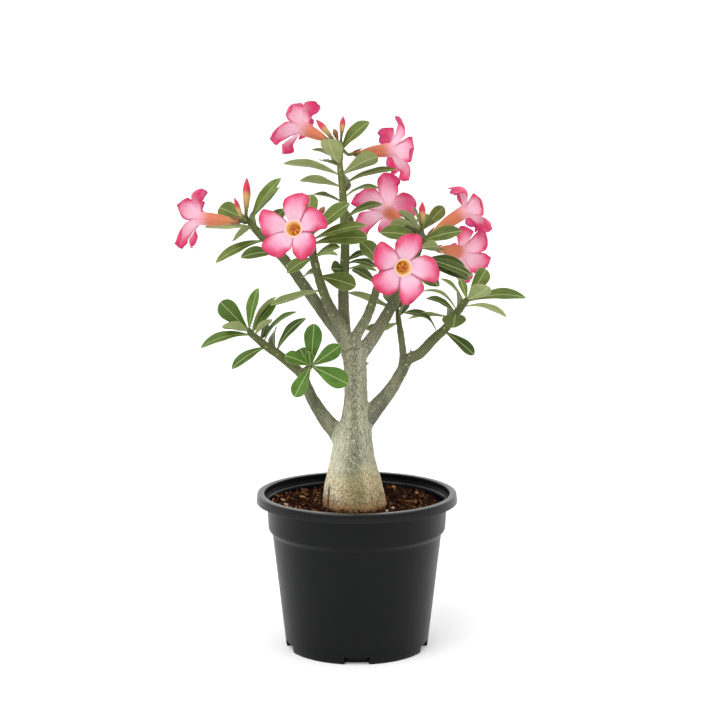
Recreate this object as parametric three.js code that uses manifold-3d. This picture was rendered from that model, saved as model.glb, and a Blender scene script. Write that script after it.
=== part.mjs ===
// A flowering desert rose (adenium) in a plain plastic nursery pot.
// Millimetres, +Z up, +X to the right as seen from the front, which looks along +Y.
// The origin is the centre of the pot's flat underside.
import * as THREE from 'three';
import { mergeVertices } from 'three/addons/utils/BufferGeometryUtils.js';
import Module from 'manifold-3d';

const wasm = await Module();
wasm.setup();

// Pot: a three-litre nursery container
const POT_HEIGHT = 148;
const RIM_RADIUS = 95;
const RIM_TOP_RADIUS = 94;
const MOUTH_RADIUS = 87.5;
const LIP_HEIGHT = 8.2;
const BAND_RADIUS = 85;
const BAND_FOOT_RADIUS = 83.9;
const STEP_RADIUS = 80;
const STEP_HEIGHT = 109;
const FOOT_RADIUS = 67.5;
const WALL = 1.6;
const FLOOR_THICKNESS = 2;
const POT_SIDES = 36;
const DRAIN_COUNT = 5;
const FIRST_DRAIN = 270;
const DRAIN_WIDTH = 23;
const DRAIN_HEIGHT = 7;
const DRAIN_INNER_RADIUS = 60;

// Soil
const SOIL_HEIGHT = 135;
const SOIL_BUMP = 1.6;
const SOIL_SIDES = 28;
const SEED = 7;

// Clearance between pieces that touch on the real plant
const GAP = 0.35;

// Caudex and trunk rows: height, centre x, radius
const TRUNK_ROWS = [
  [88, -2, 9], [100, -2, 18], [120, -2, 27], [135, -2, 29.6], [144, -3, 29], [154, -3.4, 27.6],
  [163, -3.5, 25.6], [172, -3.8, 23.2], [181, -4, 21], [196, -3.6, 18.6], [210, -2.2, 15.8],
  [222, -1.2, 13.2], [236, -1, 11.2], [250, -1, 10.9], [262, -1.4, 10.9], [276, -2, 10.8],
  [285, -2.4, 9.9], [292, -3, 7.6], [297, -4, 4],
];
const TRUNK_SIDES = 16;
const FLUTE_DEPTH = 0.05;
const FLUTE_TOP = 190;

// Bare branches: x, y, z, radius along each centre line
const BRANCHES = {
  a: [[-6.5, 2, 276, 7.4], [-12.8, 3, 293, 6.4], [-29.2, 7, 315, 5.9], [-47.6, 11, 340, 5.4],
    [-62, 14, 360, 4.9]],
  b: [[-6, -3, 278, 7.4], [-11, -5, 298, 6.2], [-24, -8, 323, 5], [-29, -9, 334, 4.6]],
  c: [[-6, 4, 280, 7], [-10.8, 4, 298, 5.7], [-12.6, 4, 331, 5.2], [-12, 3, 352, 4.8]],
  d: [[-2, -5, 281, 6.8], [-0.6, -6, 297, 5.3], [8.2, -7, 313, 4.7], [13, -8, 325, 4.3], [17, -10, 337, 3.9]],
  e: [[1, 2, 277, 8.2], [10.5, 3, 288.7, 6.8], [17.8, 4, 298.8, 6.2], [25.5, 4, 312.2, 5.7],
    [37.6, 5, 334, 5.3], [49, 5, 359, 4.9]],
  f: [[-1, 0, 205, 12], [7.6, 0, 217, 10], [17.7, 0, 228.7, 8], [27.8, 0, 240.5, 6.6],
    [35.9, 0, 252.4, 5.8], [41.9, 0, 263.4, 5.4], [47.7, 0, 274.2, 5.4], [58.7, 0, 280, 5.1],
    [67.5, 0, 289.3, 4.8], [74, 0, 296, 4.5]],
  f_side: [[42, 3, 268, 3.6], [43.3, 6, 279, 3.4], [41, 9, 298, 3.2]],
  g: [[-5, 0, 183, 12], [-17.4, -1, 203.4, 8.8], [-30.6, -3, 219.8, 7], [-41.2, -4, 237, 5.8],
    [-46.8, -5, 249.5, 5.2], [-51.3, -5, 260.8, 4.9], [-62, -6, 271, 4.6]],
  g_side: [[-51, -4, 261, 4.2], [-50, -8, 263.5, 3.9], [-49, -12, 265, 3.7]],
};
const BRANCH_SIDES = 7;
const STUB_RADIUS = 1;
const STUBS = [
  { on: 'f', root: [50, 0, 279], tip: [50.5, -1, 286] },
  { on: 'e', root: [7, -2, 270], tip: [13, -3, 272] },
];

// The limbs and blooms are listed as sighted from the front, near the plane of the trunk. Each limb
// leans out of that plane by a depth at its root and at its tip, along the lines of sight.
const EYE = [2.9, -1666, 523];
const LEANS = {
  a: [0, 26],
  b: [0, -24],
  c: [0, 6],
  d: [0, -30],
  e: [0, 22],
  f: [0, -26],
  f_side: [-13, 15],
  g: [0, 24],
  g_side: [15, 15],
};

// Leafy shoots. stem: x, y, z, radius. leaves: height on the stem, tip x, y, z, width,
// face (degrees that the upper side turns to the front), arch (mm, positive bows it upward), and 1 if
// it ends blunt.
// back: how many more leaves there are on the far side, and the sector that they spiral in (degrees).
const SHOOTS = {
  a: {
    stem: [[-62, 14, 360, 4.9], [-75, 17, 375, 4.8], [-89, 20, 389, 4.4], [-98, 20, 398, 3.6],
      [-101, 20, 403, 2.6]],
    leaves: [
      [401, -70, 12, 443, 17, 50, 3], [402, -72, 27, 434, 12, 20, 1], [402, -130, 34, 414, 18, 55, 2, 1],
      [397, -144, 36, 395, 15, -35, 1], [398, -114, -8, 388, 18, -50, -1], [385, -132, 8, 364, 13, 35, 5],
      [372, -108, -2, 370, 15, 40, 4], [388, -68, 36, 413, 14, 30, 2],
    ],
    back: [2, 84, 94],
  },
  b: {
    stem: [[-29, -9, 334, 4.6], [-35, -11, 352, 4.2], [-40, -14, 373, 3.9], [-41, -16, 385, 3.6],
      [-43, -17, 398, 2.6]],
    leaves: [
      [392, -6, -24, 422, 17, 55, 2], [397, -43, -6, 429, 16, 10, 1, 1], [388, 9, -32, 402, 14, 40, 3],
      [384, 10, -24, 390, 18, 50, 4, 1], [372, -15, -32, 382, 13, 35, 2], [372, -17, -12, 373, 12, -25, 2],
      [354, -1, -26, 346, 18, 60, 3, 1], [357, -50, 6, 351, 14, 30, 2], [371, -64, -24, 358, 14, 40, 3],
      [341, -80, -14, 327, 14, -40, 1],
    ],
    back: [1, 100, 140],
  },
  c: {
    stem: [[-12, 3, 352, 4.8], [-11, 3, 377, 4.3], [-12, 2, 412, 3.9], [-13.5, 1, 435, 3.4],
      [-15.5, 0, 455, 3], [-15, 0, 468, 2.8], [-15, 0, 478, 2.3]],
    leaves: [
      [468, 12, -6, 495, 18, 50, 3], [456, -25.5, -26, 480, 22, 0, -3, 1], [460, -43, 15, 469, 12, 10, 2],
      [446, -68, -8, 457, 14, -35, 4], [454, -35, 24, 459, 12, 0, 1], [435, -53, -4, 441, 14, -35, 3],
      [446, 18.5, -16, 464, 17, -55, 4, 1], [437, 37, 2, 451, 13, 25, 4], [425, 21, -8, 434, 12, 18, 5],
      [421, -41, 4, 428, 12, 14, 2], [405, 24, 2, 419, 13, 30, 4], [366, 13, 12, 372, 11, 25, 3],
      [364, 18, -2, 361, 12, 25, 4], [359, 19, 8, 356, 11, -25, 3], [358, -24, -8, 360, 16, 60, 1],
      [378, 10, 16, 390, 14, -30, 3],
    ],
    back: [3, 84, 90],
  },
  d: {
    stem: [[17, -10, 337, 3.9], [21, -12, 352, 3.7], [27, -15, 365, 2.8]],
    leaves: [[345, -5, 0, 359, 13, 25, 3], [362, 3, -6, 386, 16, 50, 2]],
    back: [0, 0, 0],
  },
  e: {
    stem: [[49, 5, 359, 4.9], [56, 6, 375, 4.3], [59.5, 5, 387, 3.8], [60, 4, 396, 2.6]],
    leaves: [
      [388, 21, -10, 394, 16, 60, 3], [393, 31, 2, 402, 14, -45, 2], [394, 38, -2, 414, 11, -35, 2],
      [394, 51, -4, 417, 14, 45, 1], [394, 65, 16, 410, 14, 40, 1], [395, 82, 36, 415, 13, 50, 3],
      [384, 97, -8, 395, 16, 55, 3], [378, 75, -22, 382, 13, -60, 2], [371, 107, -8, 354, 11, 45, 3],
      [366, 106, 2, 349, 12, 50, 4], [366, 101, 6, 361, 16, 60, 3], [364, 76, -24, 346, 14, 60, 2],
    ],
    back: [2, 80, 100],
  },
  f: {
    stem: [[74, 0, 296, 4.5], [83, -1, 304.5, 4.1], [94, -2, 320, 3.7], [103, -3, 332, 3]],
    leaves: [
      [331, 121, -26, 346, 18, -35, -1], [331, 121, 14, 358, 15, 60, 2, 1], [329, 158, 2, 332, 15, 35, 6],
      [325, 139, -6, 315, 12, -35, 5, 1], [302, 109, -8, 280, 12, 50, 2, 1], [318, 88, -38, 309, 22, 0, 2, 1],
      [320, 57.5, -10, 339, 10, -14, 8], [318, 64, 6, 331, 12, 20, 4], [298, 43, -16, 320, 13, 30, 8],
      [314, 47, -6, 313, 12, -25, 3], [328, 77, -4, 351, 11, 15, 3], [331, 96, 8, 350, 8, 12, 1],
    ],
    back: [2, 84, 90],
  },
  f_side: {
    stem: [[41, 9, 298, 3.2], [38.6, 12, 314, 2.6], [38, 13, 321, 2]],
    leaves: [
      [319, 44, 10, 333, 12, 60, 1], [318, 29, 8, 340, 15, -60, 1, 1], [308, 8, 20, 300, 15, -40, -3],
      [319, -9, 16, 335.5, 14, -35, 1],
    ],
    back: [1, 80, 100],
  },
  g: {
    stem: [[-62, -6, 271, 4.6], [-70, -7, 278, 4.4], [-81, -8, 286, 4.1], [-90, -9, 293, 3.7],
      [-98, -10, 300, 3.2], [-101, -10, 305, 2.4]],
    leaves: [
      [303, -127, -2, 329, 19, 75, 1, 1], [302, -124, -24, 309, 17, -35, 1], [303, -91, -10, 343, 14, 50, 2],
      [300, -74, -4, 334, 13, -35, 4], [300, -75, 6, 330, 14, 30, 2], [298, -78, -20, 315, 11, -20, 1],
      [291, -55, -4, 320, 12, 15, 6], [282, -47, -4, 314, 11, 40, 6], [299, -145, -14, 287, 15, 30, 6],
      [288, -116, -18, 268, 12, 40, 4],
    ],
    back: [2, 84, 94],
  },
  g_side: {
    stem: [[-49, -12, 265, 3.7], [-46, -20, 268.5, 3.2], [-42, -30, 273, 2.4]],
    facing: true,
    leaves: [
      [273, -39, -36, 313, 17, 0, 2, 1], [273, -15, -36, 293, 15, 15, 2, 1],
      [273, -8, -42, 258, 19, 0, 2, 1], [273, -57, -42, 246, 15, 0, 2, 1],
      [273, -66, -34, 283, 14, -15, 2, 1], [273, -44, -44, 289, 8, 0, 0], [271, -53, -16, 287, 14, 0, 2, 1],
    ],
    back: [0, 0, 0],
  },
};
const STEM_SIDES = 6;
const LEAF_THICKNESS = 1.3;
const LEAF_FOLD = 0.28;
const LEAF_ROWS = [0, 0.3, 0.6, 0.86, 1];
const PETIOLE_HALF_WIDTH = 0.9;
const ROOT_SHARE = 0.45;
const BACK_LEAF_LENGTH = 44;
const BACK_LEAF_WIDTH = 15;
const BACK_LEAF_FACE = 62;
const BACK_LEAF_LOWEST = 0.15;
const BACK_LEAF_HIGHEST = 0.75;
const STALK_START = 0.9;
const STALK_BEND = 0.4;
const GOLDEN_ANGLE = 137.5;

// Blooms: shoot, foot of the calyx, centre of the mouth, size against a full bloom, direction of
// the first petal (degrees) and, petal by petal, how far its tip curls back (mm) and, where they
// aren't evenly spread, how far it turns aside (degrees).
const BLOOMS = [
  { shoot: 'c', foot: [-24, 4, 477], mouth: [-52, 20, 490], size: 0.97, roll: 52, curl: [3, 8, 0, -5, -4] },
  { shoot: 'c', foot: [-2, 4, 466], mouth: [34, 18, 469], size: 1, roll: 38, curl: [11, 2, 0, 0, 0] },
  { shoot: 'a', foot: [-110, 12, 403], mouth: [-149, 22, 405], size: 1, roll: 33, curl: [-3, 8, 0, -4, -6] },
  { shoot: 'b', foot: [-47.4, -24, 389.6], mouth: [-56.5, -58, 401.2], size: 1, roll: 95,
    curl: [0, 0, 0, 0, 0], spread: [-8, 9, 0, 2, 0] },
  { shoot: 'd', foot: [34.7, -19, 367.2], mouth: [41.7, -56, 366.2], size: 1, roll: 76,
    curl: [0, 0, 0, 0, 0], spread: [9, 7, 0, -2, -2] },
  { shoot: 'e', foot: [43, 10, 401], mouth: [27, 38, 412], size: 1.1, roll: 30, curl: [0, 0, 20, 8, 0] },
  { shoot: 'e', foot: [68, 6, 391], mouth: [103, 17, 413], size: 0.95, roll: 100, curl: [10, 0, 0, 3, 0] },
  { shoot: 'e', foot: [74, 5, 378], mouth: [101, 33, 372], size: 0.9, roll: 68, curl: [0, 0, 0, 0, 0] },
];
const MOUTH_OUTER_RADIUS = 7.2;
const PETAL_COUNT = 5;
const PETAL_ROOT = 6.3;
const PETAL_REACH = 31;
const PETAL_ROOT_HALF_WIDTH = 3.7;
const PETAL_HALF_WIDTH = 12;
const PETAL_WIDEST = 0.68;
const PETAL_THICKNESS = 1.1;
const PETAL_FLARE = 11;
const PETAL_SKEW = 3.5;
const PETAL_TWIST = 1.3;
const PETAL_CUP = 1.2;
const PETAL_RUFFLE = 0.7;
const PETAL_ROWS = [0, 0.38, 0.76, 1];
const PETAL_SPLITS = 3;
const FUNNEL_SIDES = 8;
const SEPAL_COUNT = 5;
const SEPAL_LENGTH = 8;
const SEPAL_HALF_WIDTH = 1.1;
const CALYX_RADIUS = 3.2;
const CALYX_DEPTH = 1.6;
const PEDUNCLE_RADIUS = 1.5;
const STAMEN_COUNT = 5;
const THROAT_FLOOR = 12.4;

// Buds: shoot, foot, tip, radius, and whether it has coloured yet
const BUD_STALK_SHARE = 0.42;
const BUDS = [
  { name: 'bud_1', shoot: 'a', foot: [-103, 13, 414], tip: [-102, 10, 443.5], radius: 3.7, ripe: true },
  { name: 'bud_2', shoot: 'a', foot: [-107, 10, 406], tip: [-113.5, 4, 425.5], radius: 2.3, ripe: true },
  { name: 'bud_3', shoot: 'c', foot: [-24, -6, 482], tip: [-37, -9, 497], radius: 3, ripe: true },
  { name: 'bud_4', shoot: 'c', foot: [-14, -2, 484], tip: [-12.5, -3, 500], radius: 2.7, ripe: true },
  { name: 'bud_5', shoot: 'e', foot: [60, 0, 402], tip: [60.5, -3, 422], radius: 3.2, ripe: true },
  { name: 'bud_6', shoot: 'c', foot: [-18, -6, 480], tip: [-21, -8, 489], radius: 2.5, ripe: false },
  { name: 'bud_7', shoot: 'b', foot: [-35, -10, 410], tip: [-29.5, -9, 418], radius: 2.7, ripe: false },
];

// Colours, roughness
const FINISHES = {
  pot: ['#2d2d2f', 0.45],
  soil: ['#33190f', 0.95],
  bark: ['#989b86', 0.8],
  green: ['#4f7d33', 0.55],
  petal: ['#f28bb0', 0.6],
  sepal: ['#7a3a28', 0.7],
  stamen: ['#e0962c', 0.6],
  bud: ['#d8385c', 0.6],
};

const UP = new THREE.Vector3(0, 0, 1);
const BACK = new THREE.Vector3(0, 1, 0);
const FRONT = new THREE.Vector3(0, -1, 0.3).normalize();
const vector = ([x, y, z]) => new THREE.Vector3(x, y, z);
const radians = (degrees) => (degrees * Math.PI) / 180;
const mix = (a, b, t) => a + (b - a) * t;

// Repeatable numbers from 0 to 1.
function seededRandom(seed) {
  let state = seed;
  return () => {
    state = (state * 16807) % 2147483647;
    return state / 2147483647;
  };
}

// A sighted point of a limb, moved back by the limb's lean at a height.
function leant(name, height, [x, y, z, ...rest]) {
  const rows = [...BRANCHES[name] ?? [], ...SHOOTS[name].stem];
  const low = rows[0][2];
  const high = rows[rows.length - 1][2];
  const share = Math.max(0, Math.min(1, (height - low) / (high - low)));
  const depth = mix(LEANS[name][0], LEANS[name][1], share);
  const growth = depth / (y - EYE[1]);
  return [x + (x - EYE[0]) * growth, y + depth, z + (z - EYE[2]) * growth, ...rest];
}

const leantRows = (name, rows) => rows.map((row) => leant(name, row[2], row));
const leantTip = (name, point) => leant(name, Infinity, point);

// A closed surface of triangles; one that repeats a point is left out.
class Surface {
  constructor() {
    this.points = [];
    this.triangles = [];
  }

  point(v) {
    this.points.push(v.x, v.y, v.z);
    return this.points.length / 3 - 1;
  }

  triangle(a, b, c) {
    if (a !== b && b !== c && c !== a) this.triangles.push(a, b, c);
  }

  quad(a, b, c, d) {
    this.triangle(a, b, c);
    this.triangle(a, c, d);
  }

  // Walls between neighbouring rings, and a fan on each end.
  rings(rings, first, last) {
    const count = rings[0].length;
    const next = (j) => (j + 1) % count;
    for (let i = 0; i + 1 < rings.length; i++) {
      for (let j = 0; j < count; j++) {
        this.quad(rings[i][j], rings[i][next(j)], rings[i + 1][next(j)], rings[i + 1][j]);
      }
    }
    const end = rings[rings.length - 1];
    for (let j = 0; j < count; j++) {
      this.triangle(first, rings[0][next(j)], rings[0][j]);
      this.triangle(last, end[j], end[next(j)]);
    }
  }

  solid() {
    const made = solidFrom(this.points, this.triangles);
    if (made.volume() > 0) return made;
    for (let i = 0; i < this.triangles.length; i += 3) {
      [this.triangles[i], this.triangles[i + 1]] = [this.triangles[i + 1], this.triangles[i]];
    }
    return solidFrom(this.points, this.triangles);
  }
}

function solidFrom(points, triangles) {
  return new wasm.Manifold(new wasm.Mesh({
    numProp: 3,
    vertProperties: new Float32Array(points),
    triVerts: new Uint32Array(triangles),
  }));
}

// A three.js geometry as a solid.
function solidOf(geometry) {
  geometry.deleteAttribute('normal');
  geometry.deleteAttribute('uv');
  const merged = mergeVertices(geometry, 1e-4);
  return solidFrom(merged.attributes.position.array, merged.index.array);
}

const joined = (solids) => solids.reduce((whole, solid) => whole.add(solid));

// The largest closed body of a solid, as a named mesh.
function named(name, solid, [color, roughness]) {
  const pieces = solid.decompose();
  pieces.sort((a, b) => b.volume() - a.volume());
  const mesh = pieces[0].getMesh();
  const geometry = new THREE.BufferGeometry();
  geometry.setAttribute('position', new THREE.BufferAttribute(mesh.vertProperties, 3));
  geometry.setIndex(new THREE.BufferAttribute(mesh.triVerts, 1));
  const material = new THREE.MeshStandardMaterial({ color, roughness, metalness: 0 });
  const made = new THREE.Mesh(geometry, material);
  made.name = name;
  return made;
}

// A tapering round limb: a smooth line through rows of x, y, z, radius.
class Limb {
  constructor(rows) {
    this.curve = new THREE.CatmullRomCurve3(rows.map(vector), false, 'catmullrom', 0.5);
    this.radii = rows.map((row) => row[3]);
    const chord = vector(rows[rows.length - 1]).sub(vector(rows[0]));
    this.reference = Math.abs(chord.y) > 0.7 * chord.length() ? UP : BACK;
  }

  // Centre, radius and section directions at a share t of the way along.
  at(t) {
    const last = this.radii.length - 1;
    const row = Math.min(Math.floor(t * last), last - 1);
    const along = this.curve.getTangent(t);
    const across = along.clone().cross(this.reference).normalize();
    return {
      centre: this.curve.getPoint(t),
      radius: mix(this.radii[row], this.radii[row + 1], t * last - row),
      along,
      across,
      upright: across.clone().cross(along),
    };
  }

  // The share of the way along at which the limb reaches a height.
  shareAt(height) {
    let low = 0;
    let high = 1;
    for (let i = 0; i < 24; i++) {
      const middle = (low + high) / 2;
      if (this.curve.getPoint(middle).z < height) low = middle;
      else high = middle;
    }
    return low;
  }

  solid(sides, steps, from = 0) {
    const surface = new Surface();
    const rings = [];
    for (let i = 0; i <= steps; i++) {
      const { centre, radius, across, upright } = this.at(mix(from, 1, i / steps));
      const ring = [];
      for (let j = 0; j < sides; j++) {
        const turn = (2 * Math.PI * j) / sides;
        const spoke = across.clone().multiplyScalar(radius * Math.cos(turn));
        ring.push(surface.point(spoke.addScaledVector(upright, radius * Math.sin(turn)).add(centre)));
      }
      rings.push(ring);
    }
    surface.rings(rings, surface.point(this.at(from).centre), surface.point(this.at(1).centre));
    return surface.solid();
  }
}

// A thin blade of lens section. place(u, v) gives the middle point and the way the upper face
// looks, u from root to tip and v from edge to edge. Both faces are split alike.
function blade(steps, splits, place, thickness) {
  const surface = new Surface();
  const upper = [];
  const under = [];
  for (let i = 0; i < steps.length; i++) {
    upper.push([]);
    under.push([]);
    for (let j = 0; j <= splits; j++) {
      const v = (2 * j) / splits - 1;
      if (i === steps.length - 1 && j > 0) {
        upper[i].push(upper[i][0]);
        under[i].push(upper[i][0]);
        continue;
      }
      const { point, normal } = place(steps[i], i === steps.length - 1 ? 0 : v);
      const half = Math.abs(v) === 1 ? 0 : (thickness / 2) * (1 - 0.35 * v * v);
      const top = surface.point(point.clone().addScaledVector(normal, half));
      const bottom = half ? surface.point(point.clone().addScaledVector(normal, -half)) : top;
      upper[i].push(top);
      under[i].push(i === steps.length - 1 ? top : bottom);
    }
  }
  for (let i = 0; i + 1 < steps.length; i++) {
    for (let j = 0; j < splits; j++) {
      surface.quad(upper[i][j], upper[i][j + 1], upper[i + 1][j + 1], upper[i + 1][j]);
      surface.quad(under[i][j + 1], under[i][j], under[i + 1][j], under[i + 1][j + 1]);
      const a = upper[i][j];
      const b = upper[i][j + 1];
      const c = under[i][j + 1];
      const d = under[i][j];
      if (i === 0 && a === d) surface.triangle(a, c, b);
      else if (i === 0 && b === c) surface.triangle(a, d, b);
      else if (i === 0) surface.quad(d, c, b, a);
    }
  }
  return surface.solid();
}

// Pot

// A turned shell: foot, tapering wall, step, band and a folded-over lip, with a ledge inside.
function pot() {
  const lipFoot = POT_HEIGHT - LIP_HEIGHT;
  const profile = [
    [0, 0], [FOOT_RADIUS - 1.2, 0], [FOOT_RADIUS, 1], [STEP_RADIUS, STEP_HEIGHT],
    [STEP_RADIUS + 0.8, STEP_HEIGHT + 1.6], [BAND_FOOT_RADIUS - 0.4, STEP_HEIGHT + 4.6],
    [BAND_FOOT_RADIUS, STEP_HEIGHT + 7], [BAND_RADIUS, lipFoot - 1], [BAND_RADIUS + 3.6, lipFoot + 0.8],
    [BAND_RADIUS + 3.8, POT_HEIGHT - 1.7], [RIM_RADIUS - 1.9, POT_HEIGHT - 1.7],
    [RIM_RADIUS - 1.5, lipFoot], [RIM_RADIUS, lipFoot], [RIM_TOP_RADIUS + 0.2, POT_HEIGHT - 0.6],
    [RIM_TOP_RADIUS - 0.6, POT_HEIGHT], [MOUTH_RADIUS + 0.7, POT_HEIGHT],
    [MOUTH_RADIUS, POT_HEIGHT - 0.7], [MOUTH_RADIUS - 0.5, lipFoot + 1.4],
    [BAND_RADIUS - 1.1, lipFoot - 0.2], [BAND_RADIUS - WALL, lipFoot - 2],
    [BAND_FOOT_RADIUS - WALL, STEP_HEIGHT + 7], [BAND_FOOT_RADIUS - WALL - 0.4, STEP_HEIGHT + 5],
    [STEP_RADIUS - WALL + 0.6, STEP_HEIGHT + 1.6], [STEP_RADIUS - WALL, STEP_HEIGHT - 0.4],
    [FOOT_RADIUS - WALL, FLOOR_THICKNESS], [0, FLOOR_THICKNESS],
  ];
  const shell = new THREE.LatheGeometry(profile.map(([r, z]) => new THREE.Vector2(r, z)), POT_SIDES);
  shell.rotateX(Math.PI / 2);
  let solid = solidOf(shell);
  const length = FOOT_RADIUS + 10 - DRAIN_INNER_RADIUS;
  for (let i = 0; i < DRAIN_COUNT; i++) {
    const notch = new THREE.BoxGeometry(length, DRAIN_WIDTH, 2 * DRAIN_HEIGHT);
    notch.translate(DRAIN_INNER_RADIUS + length / 2, 0, 0);
    notch.rotateZ(radians(FIRST_DRAIN + (360 / DRAIN_COUNT) * i));
    solid = solid.subtract(solidOf(notch));
  }
  return named('pot', solid, FINISHES.pot);
}

// Soil

// Fills the pot to the soil line, with a lumpy top and a plain hole that the caudex stands in.
function soil() {
  const random = seededRandom(SEED);
  const surface = new Surface();
  const wall = [
    [BAND_RADIUS - WALL - 0.1, SOIL_HEIGHT], [BAND_FOOT_RADIUS - WALL, STEP_HEIGHT + 7],
    [BAND_FOOT_RADIUS - WALL - 0.4, STEP_HEIGHT + 4.7], [STEP_RADIUS - WALL + 0.4, STEP_HEIGHT + 1.4],
    [STEP_RADIUS - WALL, STEP_HEIGHT - 0.4], [FOOT_RADIUS - WALL, FLOOR_THICKNESS + GAP],
  ];
  const holeHeights = [TRUNK_ROWS[0][0] - GAP, 100, 120, SOIL_HEIGHT];
  const rings = [];
  for (const height of holeHeights) {
    rings.push(holeRing(surface, Math.max(height, TRUNK_ROWS[0][0]), height));
  }
  const shares = [0.12, 0.4, 0.68, 0.92];
  for (const share of shares) {
    const ring = [];
    for (let j = 0; j < SOIL_SIDES; j++) {
      const turn = (2 * Math.PI * j) / SOIL_SIDES;
      const inner = trunkPoint(turn, SOIL_HEIGHT, 2 * GAP);
      const outer = new THREE.Vector3(Math.cos(turn), Math.sin(turn), 0).multiplyScalar(wall[0][0] - GAP);
      const point = inner.lerp(outer.setZ(SOIL_HEIGHT), share);
      point.z += (random() - 0.5) * 2 * SOIL_BUMP;
      ring.push(surface.point(point));
    }
    rings.push(ring);
  }
  for (const [radius, height] of wall) {
    const ring = [];
    for (let j = 0; j < SOIL_SIDES; j++) {
      const turn = (2 * Math.PI * j) / SOIL_SIDES;
      const inside = (radius - GAP) * Math.cos(Math.PI / POT_SIDES);
      ring.push(surface.point(new THREE.Vector3(inside * Math.cos(turn), inside * Math.sin(turn), height)));
    }
    rings.push(ring);
  }
  const holeFloor = surface.point(new THREE.Vector3(TRUNK_ROWS[0][1], 0, holeHeights[0]));
  const floor = surface.point(new THREE.Vector3(0, 0, FLOOR_THICKNESS + GAP));
  surface.rings(rings, holeFloor, floor);
  return named('soil', surface.solid(), FINISHES.soil);
}

function holeRing(surface, trunkHeight, height) {
  const ring = [];
  for (let j = 0; j < SOIL_SIDES; j++) {
    const turn = (2 * Math.PI * j) / SOIL_SIDES;
    ring.push(surface.point(trunkPoint(turn, trunkHeight, 2 * GAP).setZ(height)));
  }
  return ring;
}

// Trunk and branches

// A point on the caudex: round, with root flutes that fade out upward.
function trunkPoint(turn, height, clearance = 0) {
  const rows = TRUNK_ROWS;
  let row = 0;
  while (row + 2 < rows.length && rows[row + 1][0] < height) row++;
  const t = (height - rows[row][0]) / (rows[row + 1][0] - rows[row][0]);
  const centre = mix(rows[row][1], rows[row + 1][1], t);
  const fade = Math.max(0, Math.min(1, (FLUTE_TOP - height) / 60));
  const flute = 0.6 * Math.cos(5 * turn + 0.6) + 0.4 * Math.cos(9 * turn + 2.1);
  const radius = mix(rows[row][2], rows[row + 1][2], t) * (1 + FLUTE_DEPTH * fade * flute) + clearance;
  return new THREE.Vector3(centre + radius * Math.cos(turn), radius * Math.sin(turn), height);
}

function trunk() {
  const surface = new Surface();
  const rings = TRUNK_ROWS.map(([height]) => {
    const ring = [];
    for (let j = 0; j < TRUNK_SIDES; j++) {
      ring.push(surface.point(trunkPoint((2 * Math.PI * j) / TRUNK_SIDES, height)));
    }
    return ring;
  });
  const [footHeight, footX] = TRUNK_ROWS[0];
  const [topHeight, topX] = TRUNK_ROWS[TRUNK_ROWS.length - 1];
  surface.rings(
    rings,
    surface.point(new THREE.Vector3(footX, 0, footHeight)),
    surface.point(new THREE.Vector3(topX, 0, topHeight)),
  );
  const parts = [surface.solid()];
  for (const [name, rows] of Object.entries(BRANCHES)) {
    parts.push(new Limb(leantRows(name, rows)).solid(BRANCH_SIDES, rows.length - 1));
  }
  for (const { on, root, tip } of STUBS) {
    parts.push(new Limb(leantRows(on, [[...root, STUB_RADIUS], [...tip, STUB_RADIUS / 2]])).solid(5, 1));
  }
  return named('trunk', joined(parts), FINISHES.bark);
}

// Leafy shoots

// Half width of a leaf, as a share: a narrow stalk, widest past the middle, a rounded tip. A blunt
// leaf is widest further out and ends broader.
function leafOutline(u, blunt) {
  const swell = Math.sin(Math.PI * Math.min(1, u) ** (blunt ? 2.1 : 1.5));
  return swell ** (blunt ? 0.55 : 0.75);
}

function leaf(root, tip, width, face, arch, blunt, growth) {
  const chord = tip.clone().sub(root);
  const along = chord.clone().normalize();
  const above = growth.clone().addScaledVector(along, -growth.dot(along)).normalize();
  const toFront = above.clone().cross(along);
  if (toFront.y > 0) toFront.negate();
  const normal = above.multiplyScalar(Math.cos(radians(face)));
  normal.addScaledVector(toFront, Math.sin(radians(face)));
  const across = along.clone().cross(normal);
  const place = (u, v) => {
    const half = mix(PETIOLE_HALF_WIDTH, width / 2, leafOutline(u, blunt));
    const lift = arch * 4 * u * (1 - u) + LEAF_FOLD * half * Math.abs(v);
    const point = root.clone().addScaledVector(chord, u);
    return { point: point.addScaledVector(normal, lift).addScaledVector(across, half * v), normal };
  };
  return blade(LEAF_ROWS, 2, place, LEAF_THICKNESS);
}

// A leaf's root, sunk in the stem halfway to its centre line.
function rootOf(limb, share, tip) {
  const { centre, radius } = limb.at(share);
  return centre.addScaledVector(tip.clone().sub(centre).normalize(), ROOT_SHARE * radius);
}

// More leaves on the far side, spiralling up the stem by the golden angle.
function backLeaves(limb, [count, from, to], seed) {
  const random = seededRandom(seed);
  const leaves = [];
  for (let i = 0; i < count; i++) {
    const share = mix(BACK_LEAF_LOWEST, BACK_LEAF_HIGHEST, (i + 0.5) / count);
    const turn = radians(mix(from, to, ((GOLDEN_ANGLE * i) % 360) / 360) + 10 * random());
    const reach = BACK_LEAF_LENGTH * (0.85 + 0.25 * random());
    const level = 0.85 * reach;
    const tip = limb.at(share).centre.add(new THREE.Vector3(
      level * Math.cos(turn), level * Math.sin(turn), 0.45 * reach,
    ));
    leaves.push(leaf(rootOf(limb, share, tip), tip, BACK_LEAF_WIDTH, BACK_LEAF_FACE, 3, 0, UP));
  }
  return leaves;
}

// A bent stalk from near the shoot's tip to the foot of a bloom or bud.
function stalk(limb, foot, axis, radius, clearance) {
  const start = limb.at(STALK_START).centre;
  const end = foot.clone().addScaledVector(axis, -clearance);
  const reach = end.distanceTo(start);
  const bend = end.clone().addScaledVector(axis, -STALK_BEND * reach);
  const rows = [start, bend, end].map((p) => [p.x, p.y, p.z, radius]);
  return new Limb(rows).solid(5, 2);
}

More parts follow.
